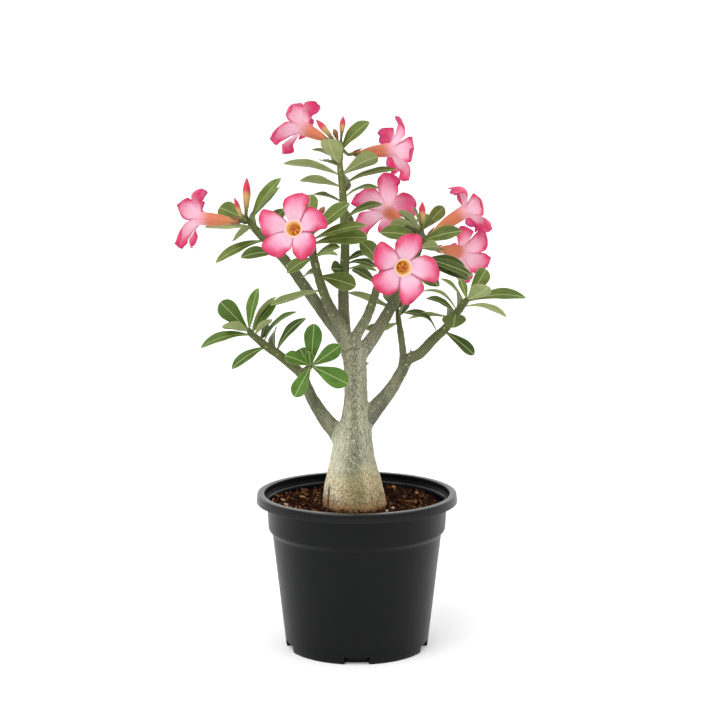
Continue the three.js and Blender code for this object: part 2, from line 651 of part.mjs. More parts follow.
function shoot(name, { stem, leaves, facing, back }) {
  const sighted = new Limb(stem);
  const limb = new Limb(leantRows(name, stem));
  const growth = facing ? FRONT : UP;
  const start = (GAP + 0.15) / limb.curve.getLength();
  const parts = [limb.solid(STEM_SIDES, stem.length - 1, start)];
  for (const [height, x, y, z, width, face, arch, blunt] of leaves) {
    const tip = vector(leant(name, height, [x, y, z]));
    const root = rootOf(limb, sighted.shareAt(height), tip);
    parts.push(leaf(root, tip, width, face, arch, blunt, growth));
  }
  parts.push(...backLeaves(limb, back, SEED + stem[0][2]));
  for (const bloom of BLOOMS.filter((entry) => entry.shoot === name)) {
    const { foot, axis } = bloomFrame(bloom.shoot, bloom.foot, bloom.mouth);
    parts.push(stalk(limb, foot, axis, PEDUNCLE_RADIUS, CALYX_DEPTH + GAP));
  }
  for (const entry of BUDS.filter((listed) => listed.shoot === name)) {
    const { foot, axis } = bloomFrame(entry.shoot, entry.foot, entry.tip);
    parts.push(stalk(limb, foot, axis, BUD_STALK_SHARE * entry.radius, GAP));
  }
  return named(`shoot_${name}`, joined(parts), FINISHES.green);
}

// Blooms

// The directions of a bloom or bud: axis out of its end, right and top as seen from that end.
function bloomFrame(shootName, foot, end) {
  const start = vector(leantTip(shootName, foot));
  const axis = vector(leantTip(shootName, end)).sub(start);
  const length = axis.length();
  axis.normalize();
  const top = UP.clone().addScaledVector(axis, -axis.z).normalize();
  const right = top.clone().cross(axis);
  return { foot: start, axis, top, right, length };
}

// A turned piece standing on the bloom's foot: profile of radius and distance along the axis.
function turned(frame, profile, sides) {
  const lathe = new THREE.LatheGeometry(profile.map(([r, s]) => new THREE.Vector2(r, s)), sides);
  const side = frame.right.clone().cross(frame.axis);
  const basis = new THREE.Matrix4().makeBasis(frame.right, frame.axis, side);
  lathe.applyMatrix4(basis.setPosition(frame.foot));
  return solidOf(lathe);
}

// A point at a radius, sideways offset and distance along the axis, in the half plane at turn.
function bloomPoint(frame, turn, radius, sideways, s) {
  const out = frame.right.clone().multiplyScalar(Math.cos(turn));
  out.addScaledVector(frame.top, Math.sin(turn));
  const aside = frame.right.clone().multiplyScalar(-Math.sin(turn));
  aside.addScaledVector(frame.top, Math.cos(turn));
  const point = frame.foot.clone().addScaledVector(frame.axis, s);
  return point.addScaledVector(out, radius).addScaledVector(aside, sideways);
}

// Half width of a petal: from the narrow root to its widest, then round to the tip.
function petalHalfWidth(u) {
  if (u < PETAL_WIDEST) {
    return mix(PETAL_ROOT_HALF_WIDTH, PETAL_HALF_WIDTH, Math.sin((Math.PI / 2) * (u / PETAL_WIDEST)));
  }
  return PETAL_HALF_WIDTH * Math.sqrt(Math.max(0, 1 - ((u - PETAL_WIDEST) / (1 - PETAL_WIDEST)) ** 2));
}

// Each petal flares from the mouth, leans over its clockwise neighbour and ripples at the edge.
function petal(frame, turn, size, curl) {
  const place = (u, v) => {
    const half = petalHalfWidth(u) * mix(1, size, u);
    const radius = mix(PETAL_ROOT, PETAL_REACH * size, u) - 0.45 * curl * u ** 3;
    const sideways = half * v - PETAL_SKEW * u * u;
    const twist = -PETAL_TWIST * v * Math.min(1, 4 * u) * (1 - 0.5 * u);
    const ripple = PETAL_RUFFLE * v * v * Math.sin(9 * u + 2 * v) * u;
    const flare = PETAL_FLARE * Math.sin(0.75 * Math.PI * u) - curl * u ** 3;
    const s = frame.length - 1 + flare + twist + ripple - PETAL_CUP * v * v * u;
    return { point: bloomPoint(frame, turn, radius, sideways, s), normal: frame.axis };
  };
  return blade(PETAL_ROWS, PETAL_SPLITS, place, PETAL_THICKNESS);
}

// The funnel of the flower, narrow at the foot and open at the mouth, with its petals.
function corolla(index, frame, { size, roll, curl, spread = [] }) {
  const { length } = frame;
  const outer = [[1.9, GAP], [2.3, 6], [4.2, 13], [5.6, 22], [MOUTH_OUTER_RADIUS, length]];
  const inner = [[MOUTH_OUTER_RADIUS - 1.2, length], [4.4, 22], [0, THROAT_FLOOR]];
  const parts = [turned(frame, [[0, GAP], ...outer, ...inner], FUNNEL_SIDES)];
  for (let k = 0; k < PETAL_COUNT; k++) {
    const turn = radians(roll + (360 / PETAL_COUNT) * k + (spread[k] ?? 0));
    parts.push(petal(frame, turn, size, curl[k]));
  }
  return named(`corolla_${index}`, joined(parts), FINISHES.petal);
}

// A small cup with five pointed sepals round the funnel's foot.
function calyx(index, frame) {
  const cupProfile = [[0, -CALYX_DEPTH], [CALYX_RADIUS, -0.8], [CALYX_RADIUS, 0], [0, 0]];
  const cup = turned(frame, cupProfile, SEPAL_COUNT);
  const parts = [cup];
  for (let k = 0; k < SEPAL_COUNT; k++) {
    const turn = radians((360 / SEPAL_COUNT) * k + 36);
    const root = bloomPoint(frame, turn, 2.6, 0, -0.7);
    const tip = bloomPoint(frame, turn, 5.2, 0, SEPAL_LENGTH);
    parts.push(new Limb([[...root.toArray(), SEPAL_HALF_WIDTH], [...tip.toArray(), 0.2]]).solid(3, 1));
  }
  return named(`calyx_${index}`, joined(parts), FINISHES.sepal);
}

// The cone of anthers in the throat, ending in five threads.
function stamens(index, frame) {
  const { length } = frame;
  const cone = [[0, THROAT_FLOOR + GAP], [2, 20], [0, length - 3]];
  const parts = [turned(frame, cone, STAMEN_COUNT)];
  for (let k = 0; k < STAMEN_COUNT; k++) {
    const turn = radians((360 / STAMEN_COUNT) * k);
    const root = bloomPoint(frame, turn, 0.5, 0, length - 10);
    const tip = bloomPoint(frame, turn, 2.8, 0, length + 1);
    parts.push(new Limb([[...root.toArray(), 0.55], [...tip.toArray(), 0.35]]).solid(3, 1));
  }
  return named(`stamens_${index}`, joined(parts), FINISHES.stamen);
}

// A spindle-shaped bud.
function bud({ name, shoot: shootName, foot, tip, radius, ripe }) {
  const frame = bloomFrame(shootName, foot, tip);
  const { length } = frame;
  const profile = [
    [0, 0], [0.5 * radius, 0], [0.8 * radius, 0.25 * length], [radius, 0.5 * length],
    [0.62 * radius, 0.8 * length], [0, length],
  ];
  return named(name, turned(frame, profile, 7), ripe ? FINISHES.bud : FINISHES.sepal);
}

const group = new THREE.Group();
group.add(pot(), soil(), trunk());
for (const [name, rows] of Object.entries(SHOOTS)) group.add(shoot(name, rows));
BLOOMS.forEach((bloom, i) => {
  const frame = bloomFrame(bloom.shoot, bloom.foot, bloom.mouth);
  group.add(corolla(i + 1, frame, bloom), calyx(i + 1, frame), stamens(i + 1, frame));
});
for (const entry of BUDS) group.add(bud(entry));

export default group;
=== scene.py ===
"""A flowering desert rose in a black nursery pot, with its finishes, floor, light and camera.

Tables are in millimetres, as seen from the front: X to the right, Y away, Z up. Meshes are in metres.
"""
import functools
import math

import bpy
import numpy as np
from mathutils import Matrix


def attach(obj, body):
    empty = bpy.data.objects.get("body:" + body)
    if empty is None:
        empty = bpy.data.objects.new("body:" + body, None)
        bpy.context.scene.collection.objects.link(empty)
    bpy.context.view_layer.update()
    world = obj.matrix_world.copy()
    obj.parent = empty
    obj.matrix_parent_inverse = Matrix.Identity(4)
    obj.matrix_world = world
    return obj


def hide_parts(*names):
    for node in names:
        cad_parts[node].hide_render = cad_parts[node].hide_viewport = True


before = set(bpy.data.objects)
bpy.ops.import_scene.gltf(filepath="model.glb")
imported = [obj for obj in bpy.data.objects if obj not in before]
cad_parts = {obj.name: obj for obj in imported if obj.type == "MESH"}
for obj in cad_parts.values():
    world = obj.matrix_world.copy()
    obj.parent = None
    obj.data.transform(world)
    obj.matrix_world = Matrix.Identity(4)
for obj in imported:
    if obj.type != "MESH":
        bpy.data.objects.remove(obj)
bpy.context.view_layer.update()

MM = 0.001
SEED = 7
UP = np.array([0, 0, 1.0])
BACK = np.array([0, 1.0, 0])
FRONT = np.array([0, -1, 0.3]) / math.hypot(1, 0.3)

# Pot, a moulded three-litre nursery container
POT_HEIGHT = 148
RIM_RADIUS = 95
RIM_TOP_RADIUS = 94
MOUTH_RADIUS = 87.5
LIP = 139.8
BAND_RADIUS = 85
BAND_FOOT_RADIUS = 83.9
STEP_RADIUS = 80
STEP_HEIGHT = 109
FOOT_RADIUS = 67.5
WALL = 1.6
FLOOR_THICKNESS = 2
DRAIN_COUNT = 5
FIRST_DRAIN = 270
DRAIN_WIDTH = 23
DRAIN_HEIGHT = 7
DRAIN_INNER_RADIUS = 60

# Gloss of the pot: its wall, the outside and the top of its rim, its inside, and the step in that
WALL_GLOSS = 0.17
RIM_GLOSS = 0.26
RIM_TOP_GLOSS = 0.6
INSIDE_GLOSS = 0.05
STEP_GLOSS = 0.5

# Soil, with heaps of x, y, spread and height
SOIL_HEIGHT = 135
SOIL_HEAPS = [
    [34, 56, 17, 5.5], [60, 34, 12, 4.5], [-66, 22, 13, 4.5], [-30, 60, 20, 2.5], [0, 75, 20, 2],
    [20, -60, 18, 1],
]

# Bark chips: the rings of each, by share of its width and height, and the largest ones, by place,
# half sizes, spin (radians) and tone
CHIP_COUNT = 1300
CHIP_LEVELS = np.array([[0.7, -0.8], [1.0, 0.0], [0.7, 0.8]])
BIG_CHIPS = [
    ((-66, 2), (6.5, 2.4, 1.2), -0.5, 1.5), ((-70, 14), (4, 2.6, 1.2), 0.6, 1.3),
    ((-52, 22), (4, 2.4, 1.2), 0.5, 0.9), ((-31, 14), (4.5, 1.5, 1), 0.8, 0.8),
    ((36, 50), (2.6, 2, 1.2), 0.3, 1.1), ((58, 32), (3, 2, 1.2), -0.6, 1.1),
    ((28, -24), (1.8, 1.6, 1.5), 0, 2.0), ((34, -14), (2.2, 1.6, 1.2), 0.5, 1.7),
    ((60, -12), (3, 1.4, 1), -0.8, 1.2),
]

# Caudex and trunk: height, centre x, radius
TRUNK_ROWS = [
    [88, -2, 9], [100, -2, 18], [120, -2, 27], [135, -2, 29.6], [144, -3, 29], [154, -3.4, 27.6],
    [163, -3.5, 25.6], [172, -3.8, 23.2], [181, -4, 21], [196, -3.6, 18.6], [210, -2.2, 15.8],
    [222, -1.2, 13.2], [236, -1, 11.2], [250, -1, 10.9], [262, -1.4, 10.9], [276, -2, 10.8],
    [285, -2.4, 9.9], [292, -3, 7.6], [297, -4, 4],
]

# Stubs of lost twigs, each on a branch
STUBS = [
    {"on": "f", "root": [50, 0, 279], "tip": [50.5, -1, 286]},
    {"on": "e", "root": [7, -2, 270], "tip": [13, -3, 272]},
]

# The limbs and blooms are listed as sighted from the front, near the plane of the trunk, by an eye here.
EYE = [2.9, -1666, 523]

# Limbs of the crown. lean: how far it stands out of that plane at its root and its tip, along the lines
# of sight. lush: the green of its leaves, from olive to full green. bare and stem: x, y, z, radius of
# its woody part and of its leafy shoot. leaves: height on the stem, tip x, y, z, width, face (degrees
# that the upper side turns to the front), arch (mm, positive bows it upward), and 1 if it ends blunt.
# back: how many more leaves there are on the far side, and the sector that they spiral in (degrees).
# facing: the leaves spread round a tip that looks to the front.
SHOOTS = {
    "a": {
        "lean": [0, 26],
        "lush": 0.35,
        "bare": [
            [-6.5, 2, 276, 7.4], [-12.8, 3, 293, 6.4], [-29.2, 7, 315, 5.9], [-47.6, 11, 340, 5.4],
            [-62, 14, 360, 4.9],
        ],
        "stem": [
            [-62, 14, 360, 4.9], [-75, 17, 375, 4.8], [-89, 20, 389, 4.4], [-98, 20, 398, 3.6],
            [-101, 20, 403, 2.6],
        ],
        "leaves": [
            [401, -70, 12, 443, 17, 50, 3], [402, -72, 27, 434, 12, 20, 1],
            [402, -130, 34, 414, 18, 55, 2, 1], [397, -144, 36, 395, 15, -35, 1],
            [398, -114, -8, 388, 18, -50, -1], [385, -132, 8, 364, 13, 35, 5],
            [372, -108, -2, 370, 15, 40, 4], [388, -68, 36, 413, 14, 30, 2],
        ],
        "back": [2, 84, 94],
    },
    "b": {
        "lean": [0, -24],
        "lush": 0.3,
        "bare": [[-6, -3, 278, 7.4], [-11, -5, 298, 6.2], [-24, -8, 323, 5], [-29, -9, 334, 4.6]],
        "stem": [
            [-29, -9, 334, 4.6], [-35, -11, 352, 4.2], [-40, -14, 373, 3.9], [-41, -16, 385, 3.6],
            [-43, -17, 398, 2.6],
        ],
        "leaves": [
            [392, -6, -24, 422, 17, 55, 2], [397, -43, -6, 429, 16, 10, 1, 1],
            [388, 9, -32, 402, 14, 40, 3], [384, 10, -24, 390, 18, 50, 4, 1],
            [372, -15, -32, 382, 13, 35, 2], [372, -17, -12, 373, 12, -25, 2],
            [354, -1, -26, 346, 18, 60, 3, 1], [357, -50, 6, 351, 14, 30, 2],
            [371, -64, -24, 358, 14, 40, 3], [341, -80, -14, 327, 14, -40, 1],
        ],
        "back": [1, 100, 140],
    },
    "c": {
        "lean": [0, 6],
        "lush": 0.05,
        "bare": [[-6, 4, 280, 7], [-10.8, 4, 298, 5.7], [-12.6, 4, 331, 5.2], [-12, 3, 352, 4.8]],
        "stem": [
            [-12, 3, 352, 4.8], [-11, 3, 377, 4.3], [-12, 2, 412, 3.9], [-13.5, 1, 435, 3.4],
            [-15.5, 0, 455, 3], [-15, 0, 468, 2.8], [-15, 0, 478, 2.3],
        ],
        "leaves": [
            [468, 12, -6, 495, 18, 50, 3], [456, -25.5, -26, 480, 22, 0, -3, 1],
            [460, -43, 15, 469, 12, 10, 2], [446, -68, -8, 457, 14, -35, 4], [454, -35, 24, 459, 12, 0, 1],
            [435, -53, -4, 441, 14, -35, 3], [446, 18.5, -16, 464, 17, -55, 4, 1],
            [437, 37, 2, 451, 13, 25, 4], [425, 21, -8, 434, 12, 18, 5], [421, -41, 4, 428, 12, 14, 2],
            [405, 24, 2, 419, 13, 30, 4], [366, 13, 12, 372, 11, 25, 3], [364, 18, -2, 361, 12, 25, 4],
            [359, 19, 8, 356, 11, -25, 3], [358, -24, -8, 360, 16, 60, 1], [378, 10, 16, 390, 14, -30, 3],
        ],
        "back": [3, 84, 90],
    },
    "d": {
        "lean": [0, -30],
        "lush": 0.3,
        "bare": [
            [-2, -5, 281, 6.8], [-0.6, -6, 297, 5.3], [8.2, -7, 313, 4.7], [13, -8, 325, 4.3],
            [17, -10, 337, 3.9],
        ],
        "stem": [[17, -10, 337, 3.9], [21, -12, 352, 3.7], [27, -15, 365, 2.8]],
        "leaves": [[345, -5, 0, 359, 13, 25, 3], [362, 3, -6, 386, 16, 50, 2]],
        "back": [0, 0, 0],
    },
    "e": {
        "lean": [0, 22],
        "lush": 0.2,
        "bare": [
            [1, 2, 277, 8.2], [10.5, 3, 288.7, 6.8], [17.8, 4, 298.8, 6.2], [25.5, 4, 312.2, 5.7],
            [37.6, 5, 334, 5.3], [49, 5, 359, 4.9],
        ],
        "stem": [[49, 5, 359, 4.9], [56, 6, 375, 4.3], [59.5, 5, 387, 3.8], [60, 4, 396, 2.6]],
        "leaves": [
            [388, 21, -10, 394, 16, 60, 3], [393, 31, 2, 402, 14, -45, 2], [394, 38, -2, 414, 11, -35, 2],
            [394, 51, -4, 417, 14, 45, 1], [394, 65, 16, 410, 14, 40, 1], [395, 82, 36, 415, 13, 50, 3],
            [384, 97, -8, 395, 16, 55, 3], [378, 75, -22, 382, 13, -60, 2], [371, 107, -8, 354, 11, 45, 3],
            [366, 106, 2, 349, 12, 50, 4], [366, 101, 6, 361, 16, 60, 3], [364, 76, -24, 346, 14, 60, 2],
        ],
        "back": [2, 80, 100],
    },
    "f": {
        "lean": [0, -26],
        "lush": 0.3,
        "bare": [
            [-1, 0, 205, 12], [7.6, 0, 217, 10], [17.7, 0, 228.7, 8], [27.8, 0, 240.5, 6.6],
            [35.9, 0, 252.4, 5.8], [41.9, 0, 263.4, 5.4], [47.7, 0, 274.2, 5.4], [58.7, 0, 280, 5.1],
            [67.5, 0, 289.3, 4.8], [74, 0, 296, 4.5],
        ],
        "stem": [[74, 0, 296, 4.5], [83, -1, 304.5, 4.1], [94, -2, 320, 3.7], [103, -3, 332, 3]],
        "leaves": [
            [331, 121, -26, 346, 18, -35, -1], [331, 121, 14, 358, 15, 60, 2, 1],
            [329, 158, 2, 332, 15, 35, 6], [325, 139, -6, 315, 12, -35, 5, 1],
            [302, 109, -8, 280, 12, 50, 2, 1], [318, 88, -38, 309, 22, 0, 2, 1],
            [320, 57.5, -10, 339, 10, -14, 8], [318, 64, 6, 331, 12, 20, 4], [298, 43, -16, 320, 13, 30, 8],
            [314, 47, -6, 313, 12, -25, 3], [328, 77, -4, 351, 11, 15, 3], [331, 96, 8, 350, 8, 12, 1],
        ],
        "back": [2, 84, 90],
    },
    "f_side": {
        "lean": [-13, 15],
        "lush": 0.2,
        "bare": [[42, 3, 268, 3.6], [43.3, 6, 279, 3.4], [41, 9, 298, 3.2]],
        "stem": [[41, 9, 298, 3.2], [38.6, 12, 314, 2.6], [38, 13, 321, 2]],
        "leaves": [
            [319, 44, 10, 333, 12, 60, 1], [318, 29, 8, 340, 15, -60, 1, 1], [308, 8, 20, 300, 15, -40, -3],
            [319, -9, 16, 335.5, 14, -35, 1],
        ],
        "back": [1, 80, 100],
    },
    "g": {
        "lean": [0, 24],
        "lush": 0.75,
        "bare": [
            [-5, 0, 183, 12], [-17.4, -1, 203.4, 8.8], [-30.6, -3, 219.8, 7], [-41.2, -4, 237, 5.8],
            [-46.8, -5, 249.5, 5.2], [-51.3, -5, 260.8, 4.9], [-62, -6, 271, 4.6],
        ],
        "stem": [
            [-62, -6, 271, 4.6], [-70, -7, 278, 4.4], [-81, -8, 286, 4.1], [-90, -9, 293, 3.7],
            [-98, -10, 300, 3.2], [-101, -10, 305, 2.4],
        ],
        "leaves": [
            [303, -127, -2, 329, 19, 75, 1, 1], [302, -124, -24, 309, 17, -35, 1],
            [303, -91, -10, 343, 14, 50, 2], [300, -74, -4, 334, 13, -35, 4], [300, -75, 6, 330, 14, 30, 2],
            [298, -78, -20, 315, 11, -20, 1], [291, -55, -4, 320, 12, 15, 6],
            [282, -47, -4, 314, 11, 40, 6], [299, -145, -14, 287, 15, 30, 6],
            [288, -116, -18, 268, 12, 40, 4],
        ],
        "back": [2, 84, 94],
    },
    "g_side": {
        "lean": [15, 15],
        "lush": 1,
        "bare": [[-51, -4, 261, 4.2], [-50, -8, 263.5, 3.9], [-49, -12, 265, 3.7]],
        "stem": [[-49, -12, 265, 3.7], [-46, -20, 268.5, 3.2], [-42, -30, 273, 2.4]],
        "facing": True,
        "leaves": [
            [273, -39, -36, 313, 17, 0, 2, 1], [273, -15, -36, 293, 15, 15, 2, 1],
            [273, -8, -42, 258, 19, 0, 2, 1], [273, -57, -42, 246, 15, 0, 2, 1],
            [273, -66, -34, 283, 14, -15, 2, 1], [273, -44, -44, 289, 8, 0, 0],
            [271, -53, -16, 287, 14, 0, 2, 1],
        ],
        "back": [0, 0, 0],
    },
}

# Blooms: shoot, foot of the calyx, centre of the mouth, size against a full bloom, and direction of the
# first petal (degrees); then for each petal how far its tip curls back (mm), how far its sides wrap
# back (radians at the edge), and how far it turns aside (degrees)
BLOOM_ROWS = [
    ["c", [-24, 4, 477], [-52, 20, 490], 0.97, 52,
        [3, 8, 0, -5, -4], [1.1, 1.7, 0.5, 0.9, 1.0], [0, 0, 0, 0, 0]],
    ["c", [-2, 4, 466], [34, 18, 469], 1, 38, [11, 2, 0, 0, 0], [0.7, 0.7, 0.4, 0.6, 1.0], [0, 0, 0, 0, 0]],
    ["a", [-110, 12, 403], [-149, 22, 405], 1, 33,
        [-3, 8, 0, -4, -6], [1.2, 2.2, 0.8, 1.0, 1.1], [0, 0, 0, 0, 0]],
    ["b", [-47.4, -24, 389.6], [-56.5, -58, 401.2], 1, 95,
        [0, 0, 0, 0, 0], [0.25, 0.25, 0.25, 0.25, 0.25], [-8, 9, 0, 2, 0]],
    ["d", [34.7, -19, 367.2], [41.7, -56, 366.2], 1, 76,
        [0, 0, 0, 0, 0], [0.25, 0.25, 0.25, 0.25, 0.25], [9, 7, 0, -2, -2]],
    ["e", [43, 10, 401], [27, 38, 412], 1.1, 30,
        [0, 0, 20, 8, 0], [0.1, 0.05, 0.9, 0.9, 0.2], [0, 0, 0, 0, 0]],
    ["e", [68, 6, 391], [103, 17, 413], 0.95, 100,
        [10, 0, 0, 3, 0], [1.3, 0.7, 1.9, 1.5, 1.0], [0, 0, 0, 0, 0]],
    ["e", [74, 5, 378], [101, 33, 372], 0.9, 68,
        [0, 0, 0, 0, 0], [0.3, 0.3, 0.4, 0.4, 0.5], [0, 0, 0, 0, 0]],
]
BLOOM_KEYS = ["shoot", "foot", "end", "size", "roll", "curl", "wrap", "spread"]
BLOOMS = [dict(zip(BLOOM_KEYS, row)) for row in BLOOM_ROWS]

# Buds: shoot, foot, tip, radius, and whether it has coloured yet
BUD_ROWS = [
    ["a", [-103, 13, 414], [-102, 10, 443.5], 3.7, True],
    ["a", [-107, 10, 406], [-113.5, 4, 425.5], 2.3, True], ["c", [-24, -6, 482], [-37, -9, 497], 3, True],
    ["c", [-14, -2, 484], [-12.5, -3, 500], 2.7, True], ["e", [60, 0, 402], [60.5, -3, 422], 3.2, True],
    ["c", [-18, -6, 480], [-21, -8, 489], 2.5, False], ["b", [-35, -10, 410], [-29.5, -9, 418], 2.7, False],
]
BUD_KEYS = ["shoot", "foot", "end", "radius", "ripe"]
BUDS = [dict(zip(BUD_KEYS, row)) for row in BUD_ROWS]

# Cracks in the caudex's foot: direction (degrees), the height that each reaches, and its width
CRACKS = [
    [214, 163, 1.4], [229, 151, 0.5], [244, 147, 0.35], [290, 148, 0.3], [308, 155, 0.6], [322, 150, 0.4],
    [20, 150, 0.8], [75, 156, 1.1], [130, 153, 0.5], [170, 150, 0.9],
]

# Caudex, its root flutes, and how the skin of trunk and stems is made
CAUDEX_RADIUS = 29
FLUTE_DEPTH = 0.05
FLUTE_TOP = 190
NO_CRACK = 9.0
SKIN_GRID = 0.9
LIMB_SAMPLES = 60
BATCH = 8000

# Leaves
LEAF_THICKNESS = 0.95
LEAF_FOLD = 0.28
PETIOLE_HALF_WIDTH = 0.9
ROOT_SHARE = 0.45
BACK_LEAF_LENGTH = 44
BACK_LEAF_WIDTH = 15
BACK_LEAF_FACE = 62
BACK_LEAF_ARCH = 3
BACK_LEAF_LOWEST = 0.15
BACK_LEAF_HIGHEST = 0.75
GOLDEN_ANGLE = 137.5

# Blooms
PETAL_COUNT = 5
PETAL_ROOT = 7.3
PETAL_REACH = 31
PETAL_ROOT_HALF_WIDTH = 5.2
PETAL_HALF_WIDTH = 12
PETAL_WIDEST = 0.58
PETAL_THICKNESS = 0.7
PETAL_FLARE = 11
PETAL_SKEW = 3.5
PETAL_SLANT = 1.3
PETAL_TWIST = 1.3
PETAL_CUP = 1.2
PETAL_RUFFLE = 0.7
PETAL_CRINKLE = 0.85
FAR_FROM_EDGE = 9.0
SEPAL_COUNT = 5
SEPAL_LENGTH = 8
CALYX_DEPTH = 1.6
PEDUNCLE_RADIUS = 1.5
STAMEN_COUNT = 5
BUD_STALK_SHARE = 0.42
STALK_START = 0.9
STALK_BEND = 0.4


# Shapes

def unit(v):
    """Vectors scaled to a length of one."""
    return v / np.linalg.norm(v, axis=-1, keepdims=True)


def smooth(low, high, x):
    """0 below low, 1 above high, and an S-shaped rise of 3t^2 - 2t^3 between them."""
    t = np.clip((x - low) / (high - low), 0, 1)
    return t * t * (3 - 2 * t)


def circle(sides):
    """Angles of evenly spread points round a circle."""
    return np.linspace(0, 2 * np.pi, sides, endpoint=False)


LATTICE = np.random.default_rng(SEED).random((32, 32, 32))


def lumps(points, size):
    """Smooth values from -1 to 1 that change over about size mm: seeded numbers on a lattice, eased
    from corner to corner of each cell."""
    scaled = points / size
    base = np.floor(scaled).astype(int)
    share = scaled - base
    share = share * share * (3 - 2 * share)
    value = 0
    for corner in np.ndindex(2, 2, 2):
        cell = (base + corner) % len(LATTICE)
        weight = np.prod(np.where(corner, share, 1 - share), axis=-1)
        value = value + weight * LATTICE[cell[..., 0], cell[..., 1], cell[..., 2]]
    return 2 * value - 1


def spline(rows, t):
    """A smooth line through rows of numbers, and its slope: between two rows a cubic whose slope at
    each row is half the step between that row's neighbours (Catmull-Rom)."""
    rows = np.asarray(rows, float)
    padded = np.vstack([2 * rows[0] - rows[1], rows, 2 * rows[-1] - rows[-2]])
    t = np.clip(np.atleast_1d(t), 0, 1) * (len(rows) - 1)
    i = np.minimum(t.astype(int), len(rows) - 2)
    w = (t - i)[:, None]
    before, start, end, after = (padded[i + k] for k in range(4))
    rise, fall = (end - before) / 2, (after - start) / 2
    a = 2 * start - 2 * end + rise + fall
    b = -3 * start + 3 * end - 2 * rise - fall
    return ((a * w + b) * w + rise) * w + start, (3 * a * w + 2 * b) * w + rise


def leant(name, height, point):
    """A sighted point of a limb, moved back along its line of sight by the limb's lean at a height."""
    shoot = SHOOTS[name]
    bottom, top = shoot["bare"][0][2], shoot["stem"][-1][2]
    share = min(1, max(0, (height - bottom) / (top - bottom)))
    root, tip = shoot["lean"]
    depth = root + (tip - root) * share
    growth = depth / (point[1] - EYE[1])
    x, y, z = point[:3]
    return [x + (x - EYE[0]) * growth, y + depth, z + (z - EYE[2]) * growth, *point[3:]]


class Limb:
    """A tapering round limb: a smooth line through rows of x, y, z, radius."""

    def __init__(self, rows):
        self.rows = np.asarray(rows, float)
        chord = self.rows[-1, :3] - self.rows[0, :3]
        level = abs(chord[1]) > 0.7 * np.linalg.norm(chord)
        self.reference = UP if level else BACK

    @classmethod
    def leaning(cls, name, rows):
        """A limb through sighted rows, each leant back as the limb of that name is at its height."""
        return cls([leant(name, row[2], row) for row in rows])

    def at(self, t):
        """Centres, radii and section directions at shares t of the way along; radii run straight."""
        t = np.atleast_1d(t)
        line, slope = spline(self.rows[:, :3], t)
        along = unit(slope)
        across = unit(np.cross(along, self.reference))
        places = np.linspace(0, 1, len(self.rows))
        return line, np.interp(t, places, self.rows[:, 3]), across, np.cross(across, along)

    def share_at(self, height):
        """The share of the way along at which the limb reaches a height."""
        t = np.linspace(0, 1, 801)
        heights = np.maximum.accumulate(self.at(t)[0][:, 2])
        return float(np.interp(height, heights, t))

    def skin(self, sides, steps):
        """Rings of points round the line."""
        centre, radius, across, upright = self.at(np.linspace(0, 1, steps + 1))
        turn = circle(sides)[:, None]
        spokes = across[:, None] * np.cos(turn) + upright[:, None] * np.sin(turn)
        return closed(centre[:, None] + spokes * radius[:, None, None], centre[0], centre[-1])


def closed(rings, first, last):
    """Points and faces of a closed skin: rings side by side, each closing on itself, and a fan of
    triangles to one point at each end."""
    rows, cols = rings.shape[:2]
    points = np.concatenate([rings.reshape(-1, 3), [first, last]])
    here = np.arange(rows * cols).reshape(rows, cols)
    beside = np.roll(here, -1, axis=1)
    quads = np.stack([here[:-1], beside[:-1], beside[1:], here[1:]], -1).reshape(-1, 4)
    foot = np.stack([beside[0], here[0], np.full(cols, rows * cols)], -1)
    head = np.stack([here[-1], beside[-1], np.full(cols, rows * cols + 1)], -1)
    return points, quads, np.concatenate([foot, head])


def per_point(values, rings, ends=(0, 0)):
    """One value for each point of a closed skin: spread over its rings, then one for each end."""
    return np.append(np.broadcast_to(values, rings.shape[:2]).ravel(), ends)


class Piece:
    """Closed skins gathered into one mesh, with named values for each point."""

    def __init__(self):
        self.points, self.quads, self.triangles, self.values = [], [], [], {}
        self.count = 0

    def add(self, skin, **values):
        """Adds a skin, turned to face outwards if its volume counts as negative."""
        points, quads, triangles = skin
        fans = np.concatenate([triangles, quads[:, [0, 1, 2]], quads[:, [0, 2, 3]]])
        corners = points[fans] - points.mean(axis=0)
        if np.einsum("ij,ij->", corners[:, 0], np.cross(corners[:, 1], corners[:, 2])) < 0:
            quads, triangles = quads[:, ::-1], triangles[:, ::-1]
        self.points.append(points)
        self.quads.append(quads + self.count)
        self.triangles.append(triangles + self.count)
        self.count += len(points)
        for key, value in values.items():
            self.values.setdefault(key, []).append(np.broadcast_to(value, len(points)))
        return self

    def object(self, name):
        """The piece as a Blender object, in metres."""
        mesh = bpy.data.meshes.new(name)
        faces = np.concatenate(self.quads).tolist() + np.concatenate(self.triangles).tolist()
        mesh.from_pydata((np.concatenate(self.points) * MM).tolist(), [], faces)
        for key, parts in self.values.items():
            store(mesh, key, np.concatenate(parts))
        mesh.shade_smooth()
        return placed(name, mesh)


def placed(name, data):
    """A new object in the scene."""
    made = bpy.data.objects.new(name, data)
    bpy.context.scene.collection.objects.link(made)
    return made


def store(mesh, key, values):
    """Keeps one number per point on the mesh, for its material to read."""
    layer = mesh.attributes.new(key, "FLOAT", "POINT")
    layer.data.foreach_set("value", np.ascontiguousarray(values, np.float32))


def finish_piece(made, finish, slot_name, *nodes):
    """Gives a piece its material and body, and hides the CAD nodes that it stands for. slot_name is not
    used.
    """
    made.data.materials.clear()
    made.data.materials.append(finish)
    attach(made, "root")
    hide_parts(*nodes)


# Materials

